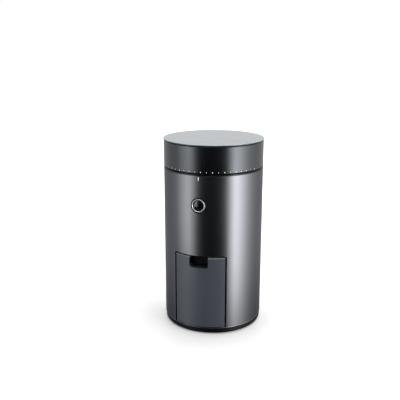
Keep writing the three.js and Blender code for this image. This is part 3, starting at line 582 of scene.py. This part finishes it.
def printed(name, marks, radius, proud=0.03 * mm):
    """Thin printed marks wrapped on a round wall: each mark is a list of (angle, height) corners."""
    shape = bmesh.new()
    outer = radius + proud
    inner = radius - proud
    for mark in marks:
        face = [shape.verts.new((math.cos(turn) * outer, math.sin(turn) * outer, z)) for turn, z in mark]
        root = [shape.verts.new((math.cos(turn) * inner, math.sin(turn) * inner, z)) for turn, z in mark]
        shape.faces.new(face)
        shape.faces.new(root)
        for i in range(len(mark)):
            j = (i + 1) % len(mark)
            shape.faces.new((face[i], face[j], root[j], root[i]))
    return new_object(name, shape)


white_print = moulded("white_print", (0.86, 0.86, 0.87), (0.9, 0.9, 0.9), 0.45, 0.6, depth=1e-6, wear=0.2)
mark_low, mark_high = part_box("pointer_mark")
mark_turn = mark_high.x / body_r
front = -math.pi / 2
index_line = printed("index_line", [[
    (front - mark_turn, mark_low.z), (front + mark_turn, mark_low.z),
    (front + mark_turn, mark_high.z), (front - mark_turn, mark_high.z),
]], body_r)
fitted(surfaced(index_line, white_print), "housing", "white", "pointer_mark")


# ---------------------------------------------------------------------------
# Rim trim. A dull black ring pressed over the cut top of the tube; the
# hopper's wide ring comes to rest just above it.
rim_low, rim_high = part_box("rim_trim")
rim_in = body_r - 3 * mm
rim_trim = spun("rim_ring", eased([
    (rim_in, rim_low.z, 0.2 * mm), (body_r, rim_low.z, 0.15 * mm), (body_r, rim_high.z, 0.7 * mm),
    (rim_in, rim_high.z, 0.7 * mm),
]), around=256)
rim_black = moulded(
    "rim_black_moulding", (0.001, 0.0011, 0.0013), (0.006, 0.006, 0.007), 0.2, 0.28, depth=3e-7, shine=0.2,
)
fitted(surfaced(rim_trim, rim_black), "housing", "gloss_black", "rim_trim")


# ---------------------------------------------------------------------------
# Bin bay. A gloss black moulded box behind the mouth in the tube: floor with
# three ribs that the bin runs on, sides, back with a steel-backed magnet,
# and a ceiling with the hole that the grounds fall through.
liner_r = 63.2 * mm
liner_side = bay_high.x
front_turn = math.degrees(math.asin(liner_side / liner_r))
liner_plan = arc((0, 0), liner_r, -90 - front_turn, -90 + front_turn, 32)
liner_plan += [Vector((liner_side, bay_high.y)), Vector((-liner_side, bay_high.y))]
bay_liner = prism("bay_liner", liner_plan, bay_low.z, bay_high.z)
duct_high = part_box("grounds_duct")[1]
duct_play = 0.6 * mm
hole_half = duct_high.x + duct_play
hole_back = duct_high.y + duct_play
hole_front = hole_back - 14.2 * mm
magnet_low, magnet_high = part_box("bay_magnet")
magnet_z = (magnet_low.z + magnet_high.z) / 2
magnet_r = magnet_high.x
pocket_r = magnet_r + 0.3 * mm
pocket_back = magnet_high.y + 0.3 * mm
pocket_deep = 4 * mm
magnet_pocket = spun("magnet_pocket", [(0, 0), (pocket_r, 0), (pocket_r, pocket_deep), (0, pocket_deep)], 48)
combined(
    bay_liner, "DIFFERENCE",
    block("bay_space", (-bay_half, -0.1, bay_floor), (bay_half, 0, bay_top)),
    block("grounds_hole", (-hole_half, hole_front, bay_top - mm), (hole_half, hole_back, bay_high.z + mm)),
    sideways(magnet_pocket, magnet_z, pocket_back),
)
bay_black = moulded(
    "bay_black_moulding", (0.05, 0.05, 0.062), (0.07, 0.07, 0.08), 0.12, 0.18, depth=4e-7,
    edge=(0.88, 0.93, 1),
)
surfaced(bay_liner, bay_black, ease=0.4 * mm)
fitted(bay_liner, "housing", "gloss_black", "bin_bay")
rib_pitch = 16.7 * mm
rib_half = 0.8 * mm
rib_front = -49.5 * mm
rib_back = -3 * mm
rib_foot = bay_floor - 0.3 * mm
rib_top = bay_floor + 0.6 * mm
for number in range(1, 4):
    rib_x = (number - 2) * rib_pitch
    rib = block(
        f"bay_rib_{number}", (rib_x - rib_half, rib_front, rib_foot), (rib_x + rib_half, rib_back, rib_top)
    )
    fitted(surfaced(rib, bay_black, ease=0.3 * mm, steps=3), "housing", "gloss_black")
plain_steel = machined("plain_steel", (0.36, 0.365, 0.37), (0.27, 0.275, 0.28), 0.32)
magnet_thick = magnet_high.y - magnet_low.y
magnet = spun("bay_magnet_disc", eased([
    (0, 0, 0), (magnet_r, 0, 0.2 * mm), (magnet_r, magnet_thick, 0.3 * mm), (0, magnet_thick, 0),
]), 64)
sideways(magnet, magnet_z, magnet_high.y)
fitted(surfaced(magnet, plain_steel), "housing", "steel", "bay_magnet")


# ---------------------------------------------------------------------------
# Inner frame. Two die-cast plates stand on steel posts between the bay and
# the top deck; the lower one carries the motor, the upper one the burr
# chamber. A small circuit board sits beside the bay.
soft_corner = math.radians(32)
softening = bpy.data.node_groups.new("shade_to_corners", "GeometryNodeTree")
for side in ("INPUT", "OUTPUT"):
    softening.interface.new_socket("Geometry", in_out=side, socket_type="NodeSocketGeometry")
soft_in = softening.nodes.new("NodeGroupInput")
soft_out = softening.nodes.new("NodeGroupOutput")
soft_faces = softening.nodes.new("GeometryNodeSetShadeSmooth")
soft_edges = softening.nodes.new("GeometryNodeSetShadeSmooth")
soft_edges.domain = "EDGE"
soft_edges.inputs["Shade Smooth"].default_value = False
soft_angle = softening.nodes.new("GeometryNodeInputMeshEdgeAngle")
soft_limit = softening.nodes.new("ShaderNodeMath")
soft_limit.operation = "GREATER_THAN"
soft_limit.inputs[1].default_value = soft_corner
softening.links.new(soft_in.outputs[0], soft_faces.inputs["Geometry"])
softening.links.new(soft_faces.outputs["Geometry"], soft_edges.inputs["Geometry"])
softening.links.new(soft_angle.outputs["Unsigned Angle"], soft_limit.inputs[0])
softening.links.new(soft_limit.outputs["Value"], soft_edges.inputs["Selection"])
softening.links.new(soft_edges.outputs["Geometry"], soft_out.inputs[0])


def dressed(node, finish, ease=0.15 * mm):
    """Keeps a solid as it is and gives it its finish, small edge rounds and soft shading."""
    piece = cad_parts[node]
    piece.data.materials.clear()
    piece.data.materials.append(finish)
    weld = piece.modifiers.new("welded", "WELD")
    weld.merge_threshold = 1e-6
    if ease > 0:
        bevel = piece.modifiers.new("eased_edges", "BEVEL")
        bevel.width = ease
        bevel.segments = 2
        bevel.limit_method = "ANGLE"
        bevel.angle_limit = math.radians(40)
    piece.modifiers.new("soft_shading", "NODES").node_group = softening
    return piece


die_cast = moulded(
    "die_cast_metal", (0.22, 0.224, 0.23), (0.4, 0.4, 0.405), 0.38, 0.52, grain=1100.0, depth=1.2e-5
)
die_cast.node_tree.nodes["Principled BSDF"].inputs["Metallic"].default_value = 1.0
for node in ("gear_plate", "chassis_plate"):
    dressed(node, die_cast, ease=0.3 * mm)
for number in range(1, 5):
    dressed(f"deck_post_{number}", plain_steel)
for number in range(1, 3):
    dressed(f"frame_post_{number}", plain_steel)
board_green = moulded(
    "board_lacquer", (0.02, 0.12, 0.05), (0.3, 0.25, 0.1), 0.35, 0.5, grain=700.0, depth=1e-5
)
dressed("control_board", board_green)


# ---------------------------------------------------------------------------
# Drive. A can motor hangs behind the bay under the lower plate; its steel
# pinion turns a natural nylon gear on the spindle, which runs in two ball
# bearings and comes up through the floor of the burr chamber.
dressed("motor_can", die_cast, ease=0.4 * mm)
dressed("motor_end_cap", satin_black, ease=0.3 * mm)
dressed("motor_shaft", plain_steel)
dressed("motor_pinion", plain_steel, ease=0.08 * mm)
nylon = moulded("natural_nylon", (0.66, 0.62, 0.52), (0.75, 0.72, 0.64), 0.4, 0.55)
dressed("drive_gear", nylon, ease=0.08 * mm)
dressed("spindle", plain_steel)
dressed("lower_bearing", plain_steel)
dressed("upper_bearing", plain_steel)


# ---------------------------------------------------------------------------
# Burr chamber and lower burr. A black moulded cup with a spout that opens
# into the grounds duct. The lower burr is hardened steel on a cast carrier
# with sweeper arms, held by three screws and a hexagon nut.
dressed("burr_chamber", satin_black, ease=0.3 * mm)
dressed("grounds_duct", satin_black, ease=0.3 * mm)
dressed("lower_carrier", die_cast, ease=0.3 * mm)
burr_steel = machined("hardened_burr_steel", (0.42, 0.42, 0.415), (0.3, 0.3, 0.3), 0.28, lines=1500.0)
dressed("lower_burr", burr_steel, ease=0.06 * mm)
dressed("burr_nut", plain_steel)
for number in range(1, 4):
    dressed(f"lower_burr_screw_{number}", plain_steel, ease=0.06 * mm)


# ---------------------------------------------------------------------------
# Top of the body. A gloss black moulded deck drops inside the tube: a ledge,
# a recessed floor and the well for the hub, where the adjusting collar turns
# on a cast lift ring. A steel finger at the back clicks against the hopper.
deck_low, deck_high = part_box("top_deck")
deck_r = deck_high.x
ring_low, ring_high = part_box("thread_ring")
hub_low, hub_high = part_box("hopper_hub")
well_r = hub_high.x + 1.3 * mm
well_out = well_r + 2.4 * mm
well_bore = ring_high.x + 1.7 * mm
well_floor = deck_low.z + 2.5 * mm
deck_under = deck_high.z - 7 * mm
deck_floor = deck_high.z - 4 * mm
ledge_in = deck_r - 4.7 * mm
top_deck = spun("deck_and_well", eased([
    (well_bore, deck_low.z, 0.3 * mm), (well_out, deck_low.z, 0.5 * mm), (well_out, deck_under, 0),
    (deck_r, deck_under, 0), (deck_r, deck_high.z, 0.3 * mm), (ledge_in + mm, deck_high.z, 0.8 * mm),
    (ledge_in, deck_high.z - 1.2 * mm, 0.4 * mm), (ledge_in, deck_floor, 0.6 * mm),
    (well_r + mm, deck_floor, 0.5 * mm), (well_r, deck_floor - mm, 0.5 * mm),
    (well_r, well_floor, 0.6 * mm), (well_bore, well_floor, 0.4 * mm),
]), around=224)
finger_low, finger_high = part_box("detent_finger")
slot_play = 0.6 * mm
slot_front = finger_high.y - 1.4 * mm
slot_foot = deck_low.z + 10 * mm
finger_slot = block(
    "finger_slot", (finger_low.x - slot_play, slot_front, slot_foot), (finger_high.x + slot_play, 0.1, 0.3)
)
combined(top_deck, "DIFFERENCE", finger_slot)
deck_gloss = moulded(
    "deck_gloss_black", (0.0012, 0.0013, 0.0016), (0.012, 0.012, 0.013), 0.08, 0.12, depth=3e-7, shine=1.0,
)
fitted(surfaced(top_deck, deck_gloss, ease=0.2 * mm), "housing", "gloss_black", "top_deck")
top_deck.modifiers["eased_edges"].angle_limit = math.radians(60)
dressed("detent_finger", plain_steel, ease=0.2 * mm)
dressed("lift_ring", die_cast, ease=0.3 * mm)
dressed("adjusting_collar", satin_black, ease=0.4 * mm)


# ---------------------------------------------------------------------------
# Button. A gloss black bezel and a thin polished ring round a glossy domed
# cap, all carried by a moulded cup behind the tube with a small switch at
# its back. The cap travels inwards on the cup's own spring.
def on_front(node, name, outline, finish, body, slot):
    """A turned piece that faces the front at the button's height; heights are from the body's surface."""
    piece = sideways(spun(name, outline, 96), button_centre, -body_r)
    return fitted(surfaced(piece, finish), body, slot, node)


gloss_black = moulded(
    "gloss_black_moulding", (0.0012, 0.0013, 0.0016), (0.008, 0.008, 0.009), 0.07, 0.12, depth=3e-7,
    edge=(0.88, 0.93, 1),
)
cap_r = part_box("button_cap")[1].x
bezel_r = bezel_high.x
bezel_in = bezel_r - 1.1 * mm
bezel_deep = -9 * mm
bezel_face = 0.28 * mm
on_front("button_bezel", "button_surround", eased([
    (bezel_in, bezel_deep, 0), (bezel_r, bezel_deep, 0), (bezel_r, bezel_face, 0.3 * mm),
    (bezel_in, bezel_face, 0.3 * mm),
]), gloss_black, "housing", "gloss_black")
polished = machined(
    "polished_ring_metal", (0.72, 0.73, 0.75), (0.62, 0.63, 0.65), 0.4, lines=900.0, depth=2e-7
)
bright_in = cap_r + 0.3 * mm
bright_out = cap_r + 1.4 * mm
bright_deep = -7 * mm
bright_crown = 0.44 * mm
on_front("button_ring", "button_ring_polished", eased([
    (bright_in, bright_deep, 0), (bright_out, bright_deep, 0), (bright_out, 0, 0.3 * mm),
    (bright_out - 0.3 * mm, bright_crown, 0.2 * mm), (bright_in + 0.3 * mm, bright_crown, 0.2 * mm),
    (bright_in, 0, 0.1 * mm),
]), polished, "housing", "chrome")
cap_crown = 0.4 * mm
cap_fall = 1.75 * mm
cap_back = -4 * mm
stem_r = 2.6 * mm
stem_end = -12 * mm
dome = [math.sin(step / 10) for step in range(14, -1, -1)]
on_front("button_cap", "button_cap_domed", [
    *eased([
        (0, stem_end, 0), (stem_r, stem_end, 0.3 * mm), (stem_r, cap_back, 0), (cap_r, cap_back, 0),
        (cap_r, -1.5 * mm, 0.3 * mm),
    ], steps=5),
    *[Vector((cap_r * out, cap_crown - cap_fall * out ** 2)) for out in dome],
], gloss_black, "button", "gloss_black")
dressed("button_housing", satin_black)
dressed("button_switch", satin_black, ease=0.3 * mm)


# ---------------------------------------------------------------------------
# Hopper. A black ring as wide as the body with a rounded lip and a funnel
# moulded inside it. White dots round its foot are the grind settings, every
# other one smaller. A groove under the ring passes over the spring finger.
bowl_low, bowl_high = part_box("hopper_bowl")
ring_foot = hub_high.z + 0.3 * mm
lid_rim_low, lid_rim_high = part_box("lid_rim")
bowl_in = lid_rim_high.x + 0.6 * mm
throat_r = 19.5 * mm
throat_out = throat_r + 2.4 * mm
groove_in = 60.6 * mm
groove_out = body_r - 1.6 * mm
groove_roof = ring_foot + 4.5 * mm
satin_sheen = moulded(
    "satin_gloss_black", (0.001, 0.0012, 0.0017), (0.01, 0.01, 0.012), 0.21, 0.26, grain=3000.0, depth=4e-7,
    shine=0.62, edge=(0.86, 0.92, 1),
)
hopper_bowl = spun("hopper_ring_and_funnel", eased([
    (throat_r, bowl_low.z, 0.3 * mm), (throat_out, bowl_low.z, 0.3 * mm), (throat_out, ring_foot, 0),
    (groove_in, ring_foot, 0.3 * mm), (groove_in, groove_roof, 0.5 * mm), (groove_out, groove_roof, 0.5 * mm),
    (groove_out, ring_foot, 0.3 * mm), (body_r, ring_foot, 1.0 * mm), (body_r, bowl_high.z, 1.3 * mm),
    (bowl_in, bowl_high.z, 1.3 * mm), (bowl_in, ring_foot + 16.6 * mm, 6 * mm),
    (throat_r + 4.5 * mm, ring_foot + 3 * mm, 8 * mm), (throat_r, ring_foot - 2 * mm, 2 * mm),
], steps=6), around=256)
fitted(surfaced(hopper_bowl, satin_sheen), "hopper", "matt_black", "hopper_bowl")

dot_count = 41
dot_step = 6.56
first_dot = 68
large_dot_r = 0.5 * mm
small_dot_r = 0.36 * mm
dot_height = ring_foot + 2.2 * mm
dot_corners = 16
circle = [2 * math.pi * i / dot_corners for i in range(dot_corners)]
dots = []
for number in range(dot_count):
    turn = front + math.radians(first_dot - number * dot_step)
    dot_r = large_dot_r if number % 2 == 0 else small_dot_r
    dots.append([(turn + dot_r * math.cos(c) / body_r, dot_height + dot_r * math.sin(c)) for c in circle])
setting_dots = printed("setting_dots", dots, body_r, proud=0.04 * mm)
fitted(surfaced(setting_dots, white_print), "hopper", "white")


# ---------------------------------------------------------------------------
# Hub and burr sleeve. The skirted hub keys into the collar: its edge is cut
# back along one side and runs down a ramp to full depth. Under it come the
# grey threaded ring and the bare aluminium sleeve that holds the upper burr.
hub_r = hub_high.x
hub_floor = hub_low.z + 4.3 * mm
hub_bore = throat_r + 2.7 * mm
skirt_in = hub_r - 4.2 * mm
cut_from = -210
cut_to = -99
hub = spun("hub_skirt", eased([
    (hub_bore, hub_floor, 0), (skirt_in, hub_floor, 0), (skirt_in, hub_low.z, 0.4 * mm),
    (hub_r, hub_low.z, 0.6 * mm), (hub_r, hub_high.z, 0.2 * mm), (hub_bore, hub_high.z, 0),
]), around=224)
cut_plan = arc((0, 0), hub_r + 2 * mm, cut_from, cut_to, 48)
cut_plan += arc((0, 0), hub_r - 4.5 * mm, cut_to, cut_from, 48)
cut_back = prism("cut_back", cut_plan, hub_low.z - mm, hub_floor)
ramp_half = 4.6 * mm
ramp_reach = 8 * mm
ramp_r = hub_r - 1.5 * mm
ramp_turn = math.radians(cut_to)
ramp = prism("ramp", [(-ramp_half, 0), (ramp_half, 0), (0, ramp_half)], -ramp_reach, ramp_reach)
ramp.data.transform(Matrix.Rotation(math.pi / 2, 4, "X"))
ramp.data.transform(Matrix.Rotation(ramp_turn + math.pi / 2, 4, "Z"))
ramp_place = (math.cos(ramp_turn) * ramp_r, math.sin(ramp_turn) * ramp_r, hub_low.z - 0.15 * mm)
ramp.data.transform(Matrix.Translation(ramp_place))
combined(hub, "DIFFERENCE", cut_back, ramp)
surfaced(hub, satin_sheen, ease=0.3 * mm)
hub.modifiers["eased_edges"].angle_limit = math.radians(35)
fitted(hub, "hopper", "matt_black", "hopper_hub")

# The ring carries a shallow single thread over its lower part, below a plain band.
ring_r = ring_high.x
thread_pitch = 1.65 * mm
thread_depth = 0.35 * mm
thread_top = ring_low.z + 6.5 * mm
thread_rows = 56
thread_around = 160
run_out_rows = 5
turns = [2 * math.pi * i / thread_around for i in range(thread_around)]
ring_shape = bmesh.new()
wall = []
for row in range(thread_rows + 1):
    height = ring_low.z + (thread_top - ring_low.z) * row / thread_rows
    ring_line = []
    fade = min(1, row / run_out_rows, (thread_rows - row) / run_out_rows)
    for turn in turns:
        wave = 2 * math.pi * (height - ring_low.z) / thread_pitch - turn
        radius = ring_r - thread_depth * fade * (0.5 - 0.5 * math.cos(wave))
        ring_line.append(ring_shape.verts.new((math.cos(turn) * radius, math.sin(turn) * radius, height)))
    wall.append(ring_line)
for radius, height in ((ring_r, ring_high.z), (hub_bore, ring_high.z), (hub_bore, ring_low.z)):
    wall.append([ring_shape.verts.new((math.cos(t) * radius, math.sin(t) * radius, height)) for t in turns])
for near, far in zip(wall, wall[1:] + wall[:1]):
    for i in range(thread_around):
        j = (i + 1) % thread_around
        ring_shape.faces.new((near[i], near[j], far[j], far[i]))
thread_ring = new_object("threaded_ring", ring_shape)
grey_turned = machined("grey_turned_metal", (0.24, 0.244, 0.25), (0.17, 0.173, 0.178), 0.5, lines=1800.0)
fitted(surfaced(thread_ring, grey_turned), "hopper", "cast_grey", "thread_ring")

sleeve_low, sleeve_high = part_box("burr_sleeve")
sleeve_r = sleeve_high.x
upper_burr_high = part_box("upper_burr")[1]
burr_seat_r = upper_burr_high.x + 0.3 * mm
burr_seat_top = upper_burr_high.z + 0.3 * mm
sleeve_bore = 19 * mm
brushed_sleeve = machined(
    "brushed_aluminium", (0.64, 0.645, 0.655), (0.52, 0.525, 0.54), 0.76, lines=2600.0, depth=2e-6
)
burr_sleeve = spun("burr_sleeve_turned", eased([
    (burr_seat_r, sleeve_low.z, 0.2 * mm), (sleeve_r, sleeve_low.z, 0.5 * mm),
    (sleeve_r, sleeve_high.z, 0.4 * mm), (sleeve_bore, sleeve_high.z, 0.4 * mm),
    (sleeve_bore, burr_seat_top, 0.3 * mm), (burr_seat_r, burr_seat_top, 0),
]), around=224)
fitted(surfaced(burr_sleeve, brushed_sleeve), "hopper", "bare_aluminium", "burr_sleeve")

dressed("upper_burr", burr_steel, ease=0.06 * mm)
for number in range(1, 4):
    dressed(f"upper_burr_screw_{number}", plain_steel, ease=0.06 * mm)


# ---------------------------------------------------------------------------
# Hopper lid. A thin smooth disc, tinted grey, with a polished edge, bonded
# to a gloss black plug whose smaller foot leads it into the hopper.
disc_low, disc_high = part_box("lid_disc")
lid_glass, lid_tree, lid_shader = new_finish("smoke_grey_cover", (0.3, 0.32, 0.335), 0.12)
lid_skin = group_node(lid_tree, skin_group, Grain=1500.0, Smoothest=0.1, Roughest=0.16)
lid_tree.links.new(lid_skin.outputs["Roughness"], lid_shader.inputs["Roughness"])
lid_drift = mapped(lid_tree, lid_skin.outputs["Drift"], 0.0, 1.0, 0.3, 0.7)
two_tone(lid_tree, lid_shader, lid_drift, (0.29, 0.31, 0.325), (0.31, 0.33, 0.345))
bumped(lid_tree, lid_shader, lid_skin.outputs["Height"], 2e-7)
disc_r = disc_high.x
lid_disc = spun("lid_cover_disc", eased([
    (0, disc_low.z, 0), (disc_r, disc_low.z, 0.5 * mm), (disc_r, disc_high.z, 0.6 * mm), (0, disc_high.z, 0),
]), around=256)
disc_edge = moulded(
    "cover_edge_teal", (0.012, 0.03, 0.034), (0.1, 0.14, 0.15), 0.1, 0.16, depth=2e-7, shine=0.3
)
surfaced(lid_disc, lid_glass)
lid_disc.data.materials.append(disc_edge)
for face in lid_disc.data.polygons:
    if face.normal.z < 0.5 and math.hypot(face.center.x, face.center.y) > disc_r - mm:
        face.material_index = 1
fitted(lid_disc, "lid", "cover_grey", "lid_disc")

plug_r = lid_rim_high.x
plug_foot = lid_rim_low.z
shoulder = plug_foot + 3.5 * mm
plug_roof = lid_rim_high.z - 2 * mm
foot_out = plug_r - 3.6 * mm
foot_in = plug_r - 5.6 * mm
lid_plug = spun("lid_plug", eased([
    (0, plug_roof, 0), (foot_in, plug_roof, 1 * mm), (foot_in, plug_foot, 0.6 * mm),
    (foot_out, plug_foot, 0.8 * mm), (foot_out, shoulder, 0.5 * mm), (plug_r, shoulder, 0.9 * mm),
    (plug_r, lid_rim_high.z, 0.2 * mm), (0, lid_rim_high.z, 0),
]), around=224)
plug_black = moulded(
    "deep_plug_black", (0.002, 0.0024, 0.004), (0.01, 0.011, 0.014), 0.14, 0.2, depth=3e-7,
    shine=0.24, edge=(0.8, 0.88, 1),
)
fitted(surfaced(lid_plug, plug_black), "lid", "gloss_black", "lid_rim")


# ---------------------------------------------------------------------------
# Grounds bin. A satin grey-black moulding whose face follows the body's
# round, with a finger notch in the top of the face; a separate grey lid
# with the square grounds hole drops into it.
bin_low, bin_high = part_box("bin_shell")
cap_low, cap_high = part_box("bin_lid")
bin_wall = 1.8 * mm
notch_half = 12.5 * mm
notch_low = cap_high.z - 14.5 * mm
notch_reach = 9 * mm
bin_grey = moulded(
    "satin_bin_grey", (0.03, 0.033, 0.043), (0.07, 0.073, 0.085), 0.4, 0.47, grain=2600.0, depth=1.2e-6,
    edge=(0.86, 0.92, 1),
)


def bin_plan(inset, steps=28):
    half = bin_high.x - inset
    face = body_r - inset
    turn = math.degrees(math.asin(half / face))
    back = bin_high.y - inset
    corner = max(3 * mm - inset, 0.8 * mm)
    plan = arc((0, 0), face, -90 - turn, -90 + turn, steps)
    plan += arc((half - corner, back - corner), corner, 0, 90, 8)
    plan += arc((-half + corner, back - corner), corner, 90, 180, 8)
    return plan


def notch_block(grow, top):
    """Finger notch as a cutter: open at the top and front, with rounded lower corners."""
    half = notch_half + grow
    low = notch_low - grow
    outline = eased([(-half, top, 0), (-half, low, 3 * mm), (half, low, 3 * mm), (half, top, 0)], steps=6)
    return sideways(prism("notch", outline, 0, 0.05), 0, -body_r + notch_reach + grow)


bin_shell = prism("bin_body", bin_plan(0), bin_low.z, bin_high.z)
bin_space = prism("bin_space", bin_plan(bin_wall), bin_low.z + bin_wall, bin_high.z + mm)
combined(bin_shell, "DIFFERENCE", bin_space)
notch_wall = prism("notch_wall", bin_plan(0), bin_low.z + mm, bin_high.z)
combined(notch_wall, "INTERSECT", notch_block(bin_wall, bin_high.z + mm))
combined(bin_shell, "UNION", notch_wall)
combined(bin_shell, "DIFFERENCE", notch_block(0, 0.2))
surfaced(bin_shell, bin_grey, ease=0.5 * mm, steps=3)
# Painted shade: the upright inner walls of the finger notch get a near-black finish that stands in for the
# shade inside the pocket.
notch_painted_shade = moulded("notch_painted_shade", (0.0008, 0.0008, 0.001), (0.004, 0.004, 0.004), 0.5, 0.6, shine=0.08)
bin_shell.data.materials.append(notch_painted_shade)
notch_margin = 0.1 * mm
for face in bin_shell.data.polygons:
    in_width = abs(face.center.x) < notch_half + notch_margin
    in_reach = face.center.y < -body_r + notch_reach + mm and face.center.z > notch_low - 2 * mm
    upright = abs(face.normal.z) < 0.3
    on_face = abs(math.hypot(face.center.x, face.center.y) - body_r) < 0.3 * mm
    if in_width and in_reach and upright and not on_face:
        face.material_index = 1
fitted(bin_shell, "bin", "bin_grey", "bin_shell")

lid_grey = moulded(
    "satin_lid_grey", (0.1, 0.108, 0.112), (0.16, 0.17, 0.175), 0.4, 0.48, grain=2600.0, depth=1.2e-6
)
cap_under = cap_high.z - 1.3 * mm
plug_play = bin_wall + 0.3 * mm
plug_in = bin_wall + 1.8 * mm
gap_y = duct_high.y - 6.5 * mm
gap_wide = 10 * mm
gap_deep = 8 * mm
bin_cap = prism("bin_cap", bin_plan(0), cap_under, cap_high.z)
cap_plug = prism("cap_plug", bin_plan(plug_play), cap_low.z, cap_under + 0.5 * mm)
cap_plug_space = prism("cap_plug_space", bin_plan(plug_in), cap_low.z - mm, cap_under)
combined(cap_plug, "DIFFERENCE", cap_plug_space)
combined(bin_cap, "UNION", cap_plug)
plug_clear = notch_block(plug_play, 0.2)
combined(plug_clear, "DIFFERENCE", block("above_plate", (-0.1, -0.1, cap_under), (0.1, 0.1, 0.3)))
dimple_r = 1.4 * mm
dimple_deep = 0.6 * mm
dimple = spun("dimple", [(0, -dimple_deep), (dimple_r, -dimple_deep), (dimple_r, mm), (0, mm)], 32)
dimple_place = Matrix.Translation((-bin_high.x * 0.64, gap_y - mm, cap_high.z))
dimple.data.transform(dimple_place @ Matrix.Diagonal((1.8, 1, 1, 1)))
combined(
    bin_cap, "DIFFERENCE", plug_clear, notch_block(0, 0.2), dimple,
    block("grounds_gap", (-gap_wide, gap_y - gap_deep, cap_under - mm), (gap_wide, gap_y + gap_deep, 0.2)),
)
surfaced(bin_cap, lid_grey, ease=0.35 * mm, steps=3)
fitted(bin_cap, "bin", "lid_grey", "bin_lid")


# ---------------------------------------------------------------------------
# Cord outlet. A soft black bush in the back of the tube, just above the
# base, where the mains lead comes out.
bush_r = bush_high.x
bush_long = bush_high.y - bush_low.y
bush_bore = 3.2 * mm
tail_r = 5 * mm
head_long = 3.7 * mm
bush = spun("cord_outlet_bush", eased([
    (bush_bore, 0, 0.6 * mm), (bush_r, 0, 0.8 * mm), (bush_r, head_long, 0.3 * mm), (tail_r, head_long, 0),
    (tail_r, bush_long, 0.5 * mm), (bush_bore, bush_long, 0),
]), 64)
sideways(bush, bush_centre, bush_high.y)
fitted(surfaced(bush, rubber), "housing", "rubber", "cord_bush")


bpy.context.view_layer.update()
